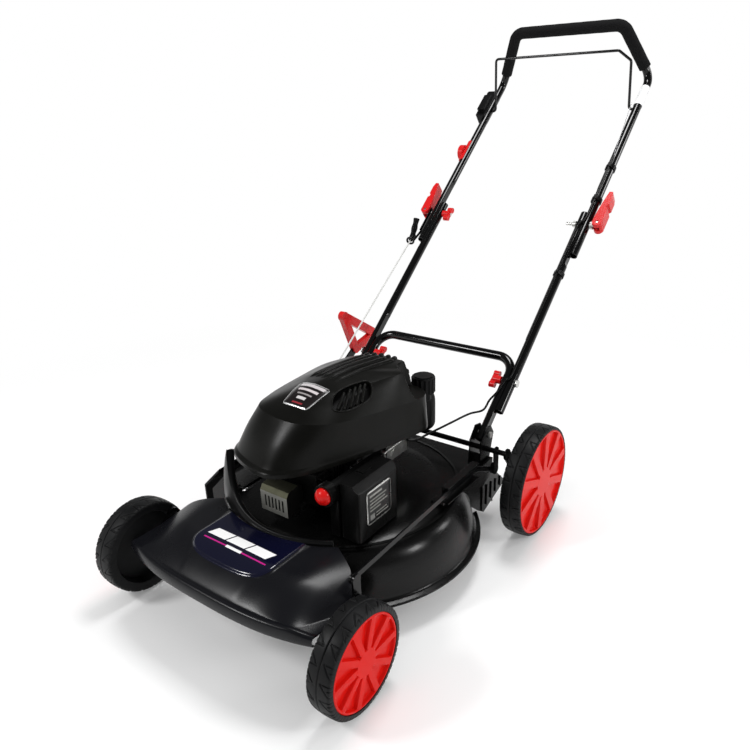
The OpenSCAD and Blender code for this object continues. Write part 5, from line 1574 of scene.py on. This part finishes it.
@dataclass
class Apron:
    """Front moulding: curved lip, raised field and the collar round the engine."""

    half: float = 233.0
    front: float = 418.0
    lip_low: float = 131.0
    lip_high: float = 157.0
    lip_depth: float = 15.0
    collar_r: float = 262.0
    collar_z: float = 186.0
    wall: float = 3.0
    deck_z: float = 170.0
    shoulder: float = 366.0
    field_half: float = 99.0
    field_front: float = -364.0
    field_rise: float = 5.5

    def lip(self, x: np.ndarray) -> np.ndarray:
        """Foremost y at x: nearly straight in the middle, rounder towards the ends."""
        return -self.front + 31.0 * (np.abs(x) / self.half) ** 3

    def back(self, x: np.ndarray) -> np.ndarray:
        """Rear y at x: a circle round the engine, then a straight line with a round end."""
        a = np.abs(x)
        circle = -np.sqrt(self.collar_r ** 2 - np.minimum(a, 150) ** 2)
        return circle - np.maximum(a - 150, 0) * 0.57 - 14 * step(a, 196, self.half)

    def outside(self, x: np.ndarray, v: np.ndarray) -> np.ndarray:
        """Outer skin: a pillow that rises from the lip, with a domed field in its middle.

        The height is the lip's plus the product of three quarter waves of the distance to the
        front, to the slanted shoulder and to the side. The field's edge is a superellipse.
        """
        y = self.lip(x) + self.lip_depth + (self.back(x) - self.lip(x) - self.lip_depth) * v
        a = np.abs(x)

        def swell(distance: np.ndarray, reach: float) -> np.ndarray:
            """Quarter wave from 0 at the edge to 1 at a reach."""
            return np.sin(math.pi / 2 * np.clip(distance / reach, 0, 1)) ** 0.85

        front = swell(y - self.lip(x) - self.lip_depth, 84)
        shoulder = swell((self.shoulder + 26 - a - 0.5 * np.abs(y)) / 1.118, 88)
        side = 0.35 + 0.65 * swell(self.half - a, 26)
        foot = self.lip_high - 1.5 - 7.0 * step(a, 185, self.half)
        back_z = self.collar_z - 8 * step(a, 150, self.half)
        z = foot + (back_z - foot) * front * shoulder * side
        ridge = step(80 - (np.abs(y) - 350) * 0.22 - a, -7, 7) * front * 2.2
        ahead = np.maximum(-322 - y, 0) / (-322 - self.field_front)
        rim = 1 - ((a / self.field_half) ** 3.4 + ahead ** 2.4) ** (1 / 2.8)
        crown = 1.6 * np.clip(rim, 0, 1) ** 0.5
        field = step(rim * self.field_half, -4.0, 7.0) * (self.field_rise - 1.4) + crown
        return np.stack([x, y, z + np.maximum(ridge, field)], -1)

    def skin(self) -> None:
        """Closed moulding: rolled lip and outer skin, and the same drawn in by the wall."""
        s = np.linspace(-1, 1, 241)
        x = self.half * (0.25 * np.sin(s * math.pi / 2) + 0.75 * s)
        v = np.linspace(0, 1, 100) ** 1.35
        top = self.outside(*np.meshgrid(x, v, indexing="ij"))
        low, high = self.lip_low, self.lip_high
        roll = spline([(6.0, low), (1.4, low + 2.5), (0.0, low + 9.0), (0.6, high - 9.0),
                       (3.0, high - 3.0), (7.0, high - 0.4), (11.0, high - 0.6)], 5)
        fall = 7.0 * step(np.abs(x), 185, self.half)[:, None]
        drop = fall * (roll[:, 1] - low) / (high - low)
        lip = np.stack(np.broadcast_arrays(x[:, None], self.lip(x)[:, None] + roll[:, 0],
                                           roll[:, 1] - drop), -1)
        outer = np.concatenate([lip, top], axis=1)
        normal = np.cross(np.gradient(outer, axis=0), np.gradient(outer, axis=1))
        inner = outer - unit(normal) * self.wall
        inner[..., 1] = np.maximum(inner[..., 1], self.lip(x)[:, None] + 2.2)
        inner[:, 0, 2] = outer[:, 0, 2]
        section = np.concatenate([outer, inner[:, ::-1]], axis=1)
        shut = np.concatenate([inner, inner[:, ::-1]], axis=1)
        grid = np.concatenate([shut[:1], section, shut[-1:]])
        made = surface("apron_skin", grid * MM, round_columns=True, material=dress(Look.APRON),
                       sharp=38)
        settle(made, "front_apron")

    def collar(self) -> None:
        """Rounded band round the front of the engine that rises to a horn at the left.

        A section's points are [radius, height]; they are joined by a spline, and its top leans
        in and rises with the fourth power of the way to the horn.
        """
        u = np.linspace(0, 1, 160)
        a = np.radians(-127.5 + 70.5 * u)
        h = (1 - u) ** 4
        z0, low, top = self.collar_z, self.deck_z - 16, self.collar_z + 9 + 94 * h
        r, lean, thick = self.collar_r - 1, 15 * h, 12 + 6 * h
        middle = z0 + (top - z0) * 0.45
        outline = [(r - 22, low), (r - 3, z0 - 6), (r + 0.5 - lean * 0.35, middle),
                   (r - 1 - lean * 0.92, top - 5), (r - lean - thick * 0.25, top - 1.2),
                   (r - lean - thick * 0.55, top), (r - lean - thick * 0.85, top - 1.6),
                   (r - lean * 0.95 - thick, top - 6), (r - lean * 0.35 - thick, middle - 2),
                   (r - 16, z0 - 9), (r - 30, low + 2)]
        rows = np.array([np.stack(np.broadcast_arrays(*pair, u)[:2], -1) for pair in outline])
        rows = rows.reshape(len(outline), -1)
        p = spline(rows, 7, closed=True).reshape(-1, len(u), 2)
        grid = np.stack([p[..., 0] * np.cos(a), p[..., 0] * np.sin(a), p[..., 1]], -1)
        made = close_holes(surface("collar", grid * MM, round_rows=True,
                                   material=dress(Look.COLLAR)))
        settle(made, "front_apron")

    def build(self) -> None:
        """Builds the apron."""
        self.skin()
        self.collar()


# ---------------------------------------------------------------- deck and engine


@dataclass
class Chassis:
    """Deck, flaps, axles and the height adjustment, dressed on their solids."""

    sheet: float = 2.5
    top: float = 170.0
    bore: float = 34.0
    bell: tuple = ((34, 170), (150, 170), (182, 169.4), (208, 166.6), (228, 160.5), (244, 150),
                   (256, 135), (264, 117), (269, 97), (272, 80), (274, 70), (277.5, 64.5),
                   (283, 62.4), (287.2, 61), (288, 59), (287.2, 57.3))
    chute: tuple = ((-140, 157), (-173, 166.8), (-203, 188.5), (-211, 190.5), (-292, 131),
                    (-292, 50), (-140, 50))
    chute_ends: tuple = (-147.5, 92.5)
    housing_x: float = 213.8
    housing_y: tuple = (34.0, 258.0)
    housing_z: tuple = (132.0, 167.9)

    def shell(self) -> None:
        """Bell-shaped deck: a smooth profile turned round, cut open at the rear and the side."""
        outer = spline(np.array(self.bell, float)[1:], 5)
        outer = np.vstack([[self.bell[0]], [[70, self.top], [110, self.top]], outer])
        run = unit(np.gradient(outer, axis=0))
        inner = outer + np.stack([run[:, 1], -run[:, 0]], -1) * self.sheet
        inner = inner[(inner[:, 0] < 284) & (inner[:, 0] >= self.bore)]
        inner = np.vstack([[self.bore, self.top - self.sheet], inner[1:], [283.5, 57.3]])
        made = revolve("deck_bell", np.vstack([outer, inner[::-1]]), 168, lambda p: p * MM,
                       dress(Look.DECK), sharp=30, closed=True)
        for cutter in (prism(self.plan(211.3, 60.0, 320.0), (0, 0, 1), 40.0, 164.0),
                       prism(self.plan(300.0, 259.5, 320.0), (0, 0, 1), 0.0, 200.0),
                       prism([(x, 0.0, z) for x, z in self.chute], (0, 1, 0), *self.chute_ends)):
            carve(made, cutter, 30)
        settle(made, "deck_shell")

    @staticmethod
    def plan(half: float, front: float, rear: float) -> list[tuple[float, float, float]]:
        """Corners in plan of a box that reaches as far to both sides."""
        return [(-half, front, 0.0), (half, front, 0.0), (half, rear, 0.0), (-half, rear, 0.0)]

    def housing(self) -> None:
        """Sheet over the rear of the bell: three flat sides with a rolled edge between them."""
        x, (low, top) = self.housing_x, self.housing_z
        turn = np.linspace(0, math.pi / 2, 7)
        r = 3.0
        right = np.column_stack([x - r + r * np.cos(turn), top - r + r * np.sin(turn)])
        half = np.vstack([[x, low], [x, 150], right, [120, top], [0, top]])
        outline = np.vstack([half, half[-2::-1] * [-1, 1]])
        inner = outline * [1 - 1.6 / x, 1.0] - [0.0, 1.6]
        loop = np.vstack([outline, inner[::-1]])
        y = np.linspace(*self.housing_y, 12)
        grid = np.stack(np.broadcast_arrays(loop[None, :, 0], y[:, None], loop[None, :, 1]), -1)
        made = surface("deck_housing", grid * MM, round_columns=True, material=dress(Look.DECK),
                       sharp=30)
        settle(made, "deck_shell")

    def fittings(self) -> None:
        """Keeps the solid's lugs, panels and chute, without the faces that the bell replaces."""
        skin = cad_skin("deck_shell", dress(Look.DECK), sharp=28, bevel=0.8)
        with edited(skin.data) as work:
            faces = list(work.faces)
            middle = np.array([f.calc_center_median()[:] for f in faces]) / MM
            normal = np.array([f.normal[:] for f in faces])
            r = np.hypot(middle[:, 0], middle[:, 1])
            reach = np.maximum(r, 1)
            outward = (normal[:, :2] * middle[:, :2]).sum(axis=1) / reach
            tangent = np.abs(normal[:, 0] * middle[:, 1] - normal[:, 1] * middle[:, 0]) / reach
            z, level = middle[:, 2], np.abs(normal[:, 2])
            low = self.top - self.sheet
            flat = ((np.abs(z - self.top) < 0.2) | (np.abs(z - low) < 0.2)) & (level > 0.99)
            wall = ((np.abs(outward) > 0.12) & (tangent < 0.06) & (r > 225) & (r < 289)
                    & (z < 171))
            foot = (r > 262) & (z < 62) & (level > 0.9)
            chute = (middle[:, 0] < -190) & (middle[:, 1] > -152) & (middle[:, 1] < 97)
            gone = np.flatnonzero(flat | (wall & ~chute) | foot)
            bmesh.ops.delete(work, geom=[faces[i] for i in gone], context="FACES")
        LOG.info("deck fittings keep %d of %d faces", len(faces) - len(gone), len(faces))

    def build(self) -> None:
        """Builds the deck and dresses each node."""
        self.shell()
        self.housing()
        self.fittings()
        skins(("deck_fasteners", Look.ZINC, 0.5), ("link_channel", Look.DECK, 0.6),
              ("rear_flap", Look.RUBBER, 0.8), ("chute_flap", Look.BLACK, 0.8),
              ("front_crank", Look.BRACKET, 0.7), ("rear_crank", Look.BRACKET, 0.7),
              ("height_lever", Look.BRACKET, 0.6), ("lever_grip", Look.LEVER, 3.0),
              ("link_rod", Look.BRACKET, 0.5), ("blade_adapter", Look.IRON, 0.5),
              ("blade", Look.STEEL, 0.3), ("blade_bolt", Look.ZINC, 0.5))


@dataclass
class Engine:
    """Engine under its hood: block, head, intake, fuel side and controls."""

    primer: tuple[float, float] = (103.0, 265.0)
    primer_y: float = -193.0
    primer_r: float = 17.0
    tank_middle: tuple[float, float] = (18.0, 160.5)
    tank_half: tuple[float, float] = (100.0, 28.5)
    neck: tuple[float, float] = (101.0, 149.0)
    neck_r: float = 17.0

    def bulb(self) -> None:
        """Primer bulb: a dome on a short skirt, turned about the line of travel."""
        t = np.linspace(math.pi / 2, math.radians(17), 16)
        dome = np.stack([17.5 * np.cos(t), -3 + 17.5 * np.sin(t)], -1)
        dome[:, 0] = np.minimum(dome[:, 0], self.primer_r)
        profile = np.vstack([dome, [[self.primer_r, -4], [self.primer_r, -9], [14, -9], [14, 0.5],
                                    [0, 0.5]]])

        def place(local: np.ndarray) -> np.ndarray:
            """Height runs towards the front."""
            return np.stack([self.primer[0] + local[..., 0], self.primer_y - local[..., 2],
                             self.primer[1] + local[..., 1]], -1) * MM

        made = revolve("primer_dome", profile, 56, place, dress(Look.PRIMER))
        settle(made, "primer_bulb")

    def tank(self) -> None:
        """Blow-moulded tank: a superellipse in plan, round below and above, with its neck."""
        plan = superellipse(120, 3.4)
        levels = np.array([[0.0, 253], [0.80, 253], [0.93, 256], [0.985, 264], [1.0, 276],
                           [1.0, 318], [0.985, 330], [0.94, 338], [0.84, 342.5], [0.6, 343],
                           [0.0, 343]])
        size, z = np.hsplit(spline(levels, 4), 2)
        x, y = (middle + half * plan[None, :, axis] * size for axis, (middle, half)
                in enumerate(zip(self.tank_middle, self.tank_half)))
        grid = np.stack(np.broadcast_arrays(x, y, z), -1)
        body = surface("tank_body", grid * MM, round_columns=True, material=dress(Look.BLACK),
                       sharp=50)
        settle(body, "fuel_tank")
        neck = np.linspace((*self.neck, 330.0), (*self.neck, 352.8), 8)
        stub = tube("tank_neck", neck * MM, self.neck_r * MM, 40, dress(Look.BLACK),
                    reference=(1, 0, 0))
        settle(stub, "fuel_tank")

    def intake(self) -> None:
        """Air box with its cover and a bare plate with bars on the side."""
        cad_skin("air_box", dress(Look.BOX), bevel=1.5)
        cover = cad_skin("air_cover", dress(Look.BOX), bevel=4.0)
        squeeze(cover, axis=1, fixed=-160.0, factor=0.86)
        cad_skin("air_filter", dress(Look.FILTER), bevel=2.0)
        corners = [(168.7, -150, 199), (168.7, -74, 199), (168.7, -74, 270), (168.7, -150, 270)]
        made = plate("box_plate", corners, dress(Look.SIDE_PLATE), 0.9)
        settle(made, "air_cover")

    def build(self) -> None:
        """Dresses the engine."""
        skins(("engine_block", Look.IRON, 0.8), ("cylinder_head", Look.IRON, 0.5),
              ("muffler", Look.IRON, 2.0), ("carburettor", Look.ALLOY, 1.2),
              ("fuel_cap", Look.BLACK, 0.9), ("oil_cap", Look.BLACK, 1.0),
              ("control_linkage", Look.ZINC, 0.4), ("crankshaft", Look.STEEL, 0.5),
              ("flywheel", Look.ALLOY, 0.5))
        self.tank()
        guard = cad_skin("muffler_guard", dress(Look.GUARD), bevel=1.6)
        squeeze(guard, axis=1, fixed=-205.0, factor=0.55)
        # painted shade: the guard's top faces take the darker olive finish
        repaint(guard, Look.GUARD_TOP, lambda c: (c[:, 2] > 0.2385) & (c[:, 1] > -0.2030))
        # painted shade: the guard's right face takes the dark iron finish because it lies in shade
        repaint(guard, Look.IRON, lambda c: c[:, 0] > 0.0186)
        plug = cad_skin("spark_plug", dress(Look.SLEEVE), bevel=0.5)
        repaint(plug, Look.RUBBER, lambda c: c[:, 0] < -0.0740)
        self.bulb()
        self.intake()


# ---------------------------------------------------------------- studio


@dataclass
class Studio:
    """Camera, soft lights, white surroundings and a pale floor."""

    place: tuple[float, float, float] = (0.8348, -0.9926, 0.9374)
    azimuth: float = 36.88
    elevation: float = 22.43
    roll: float = -0.035
    lens: float = 33.06
    shift: tuple[float, float] = (-0.0028, 0.0057)

    def camera(self) -> None:
        """Camera whose axes come from its azimuth, elevation and roll."""
        az, el = math.radians(self.azimuth), math.radians(self.elevation)
        back = Vector((math.sin(az) * math.cos(el), -math.cos(az) * math.cos(el), math.sin(el)))
        right = (-back).cross(Vector((0, 0, 1))).normalized()
        up = right.cross(-back)
        r = right * math.cos(self.roll) + up * math.sin(self.roll)
        u = -right * math.sin(self.roll) + up * math.cos(self.roll)
        data = bpy.data.cameras.new("camera")
        data.lens = self.lens
        data.sensor_width = 36.0
        data.shift_x, data.shift_y = self.shift
        data.clip_start = 0.01
        made = bpy.data.objects.new("camera", data)
        turn = Matrix((r, u, back)).transposed().to_4x4()
        made.matrix_world = Matrix.Translation(Vector(self.place)) @ turn
        bpy.context.scene.collection.objects.link(made)
        bpy.context.scene.camera = made

    @staticmethod
    def lamp(name: str, place: ArrayLike, target: ArrayLike, size: float, power: float) -> None:
        """Square area light that faces a target."""
        data = bpy.data.lights.new(name, "AREA")
        data.shape = "SQUARE"
        data.size = size
        data.energy = power
        made = bpy.data.objects.new(name, data)
        way = Vector(target) - Vector(place)
        made.matrix_world = (Matrix.Translation(Vector(place))
                             @ way.to_track_quat("-Z", "Y").to_matrix().to_4x4())
        bpy.context.scene.collection.objects.link(made)

    @staticmethod
    def surroundings() -> None:
        """World: white where it is seen, reflected or seen through, softer as a light."""
        g = Graph("surroundings", world=True)
        camera, seen = g.rays()
        _, _, up = g.axes(Wire(g, g.node("ShaderNodeTexCoord").outputs["Generated"]))
        shown = up.ramp(0.06, 0.36, 1.0, 0.14).most(camera)
        level = g.node("ShaderNodeMapRange", None, Value=seen, To_Min=0.55, To_Max=shown)
        bpy.context.scene.world = g.finish(Color=(1.0, 1.0, 1.0),
                                           Strength=Wire(g, level.outputs[0]))

    @staticmethod
    def floor() -> None:
        """Pale floor that keeps part of the shadow and reads as white elsewhere."""
        g = Graph("pale_floor")
        grain = g.noise(2.0, 3.0)
        g.finish(Base_Color=g.blend(grain * 0.3, (0.93, 0.93, 0.93), (0.90, 0.90, 0.90)),
                 Roughness=0.9, Specular_IOR_Level=0.1)
        _, seen = g.rays()
        white = g.node("ShaderNodeEmission", None, Color=(1, 1, 1, 1), Strength=1.0)
        x, y, _ = g.axes(g.place())
        far = ((x * x + y * y) ** 0.5).ramp(0.75, 1.9)
        mix = g.node("ShaderNodeMixShader", None, _0=seen * (0.15 + far * 0.85))
        g.tree.links.new(g.shader.outputs[0], mix.inputs[1])
        g.tree.links.new(white.outputs[0], mix.inputs[2])
        g.tree.links.new(mix.outputs[0], g.output.inputs["Surface"])
        reach = 9.0
        s = np.linspace(-reach, reach, 5)
        x, y = np.meshgrid(s, s, indexing="ij")
        ground = surface("floor", np.stack([x, y, np.zeros_like(x)], -1), material=g.owner,
                         outward=False)

    def build(self) -> None:
        """Sets up the studio."""
        bpy.context.scene.view_settings.view_transform = "Standard"
        self.camera()
        self.surroundings()
        self.floor()
        self.lamp("key", (-1.5, -2.0, 2.4), (0, 0, 0.3), 0.60, 40.0)
        self.lamp("side", (2.6, 0.4, 1.5), (0, 0.1, 0.4), 0.50, 20.0)
        self.lamp("above", (0.0, 0.9, 3.0), (0, 0.2, 0.4), 0.80, 36.0)
        self.lamp("behind", (2.3, 2.4, 1.7), (0, 0.4, 0.5), 0.60, 16.0)


def main() -> None:
    """Builds the studio, the cords and every sub-assembly, in that order."""
    logging.basicConfig(level=logging.INFO, format="%(name)s: %(message)s")
    Studio().build()
    Cords().build()
    Handle().build()
    for wheel in wheels():
        wheel.build()
    Shroud().build()
    Apron().build()
    Chassis().build()
    Engine().build()


if __name__ == "__main__":
    main()
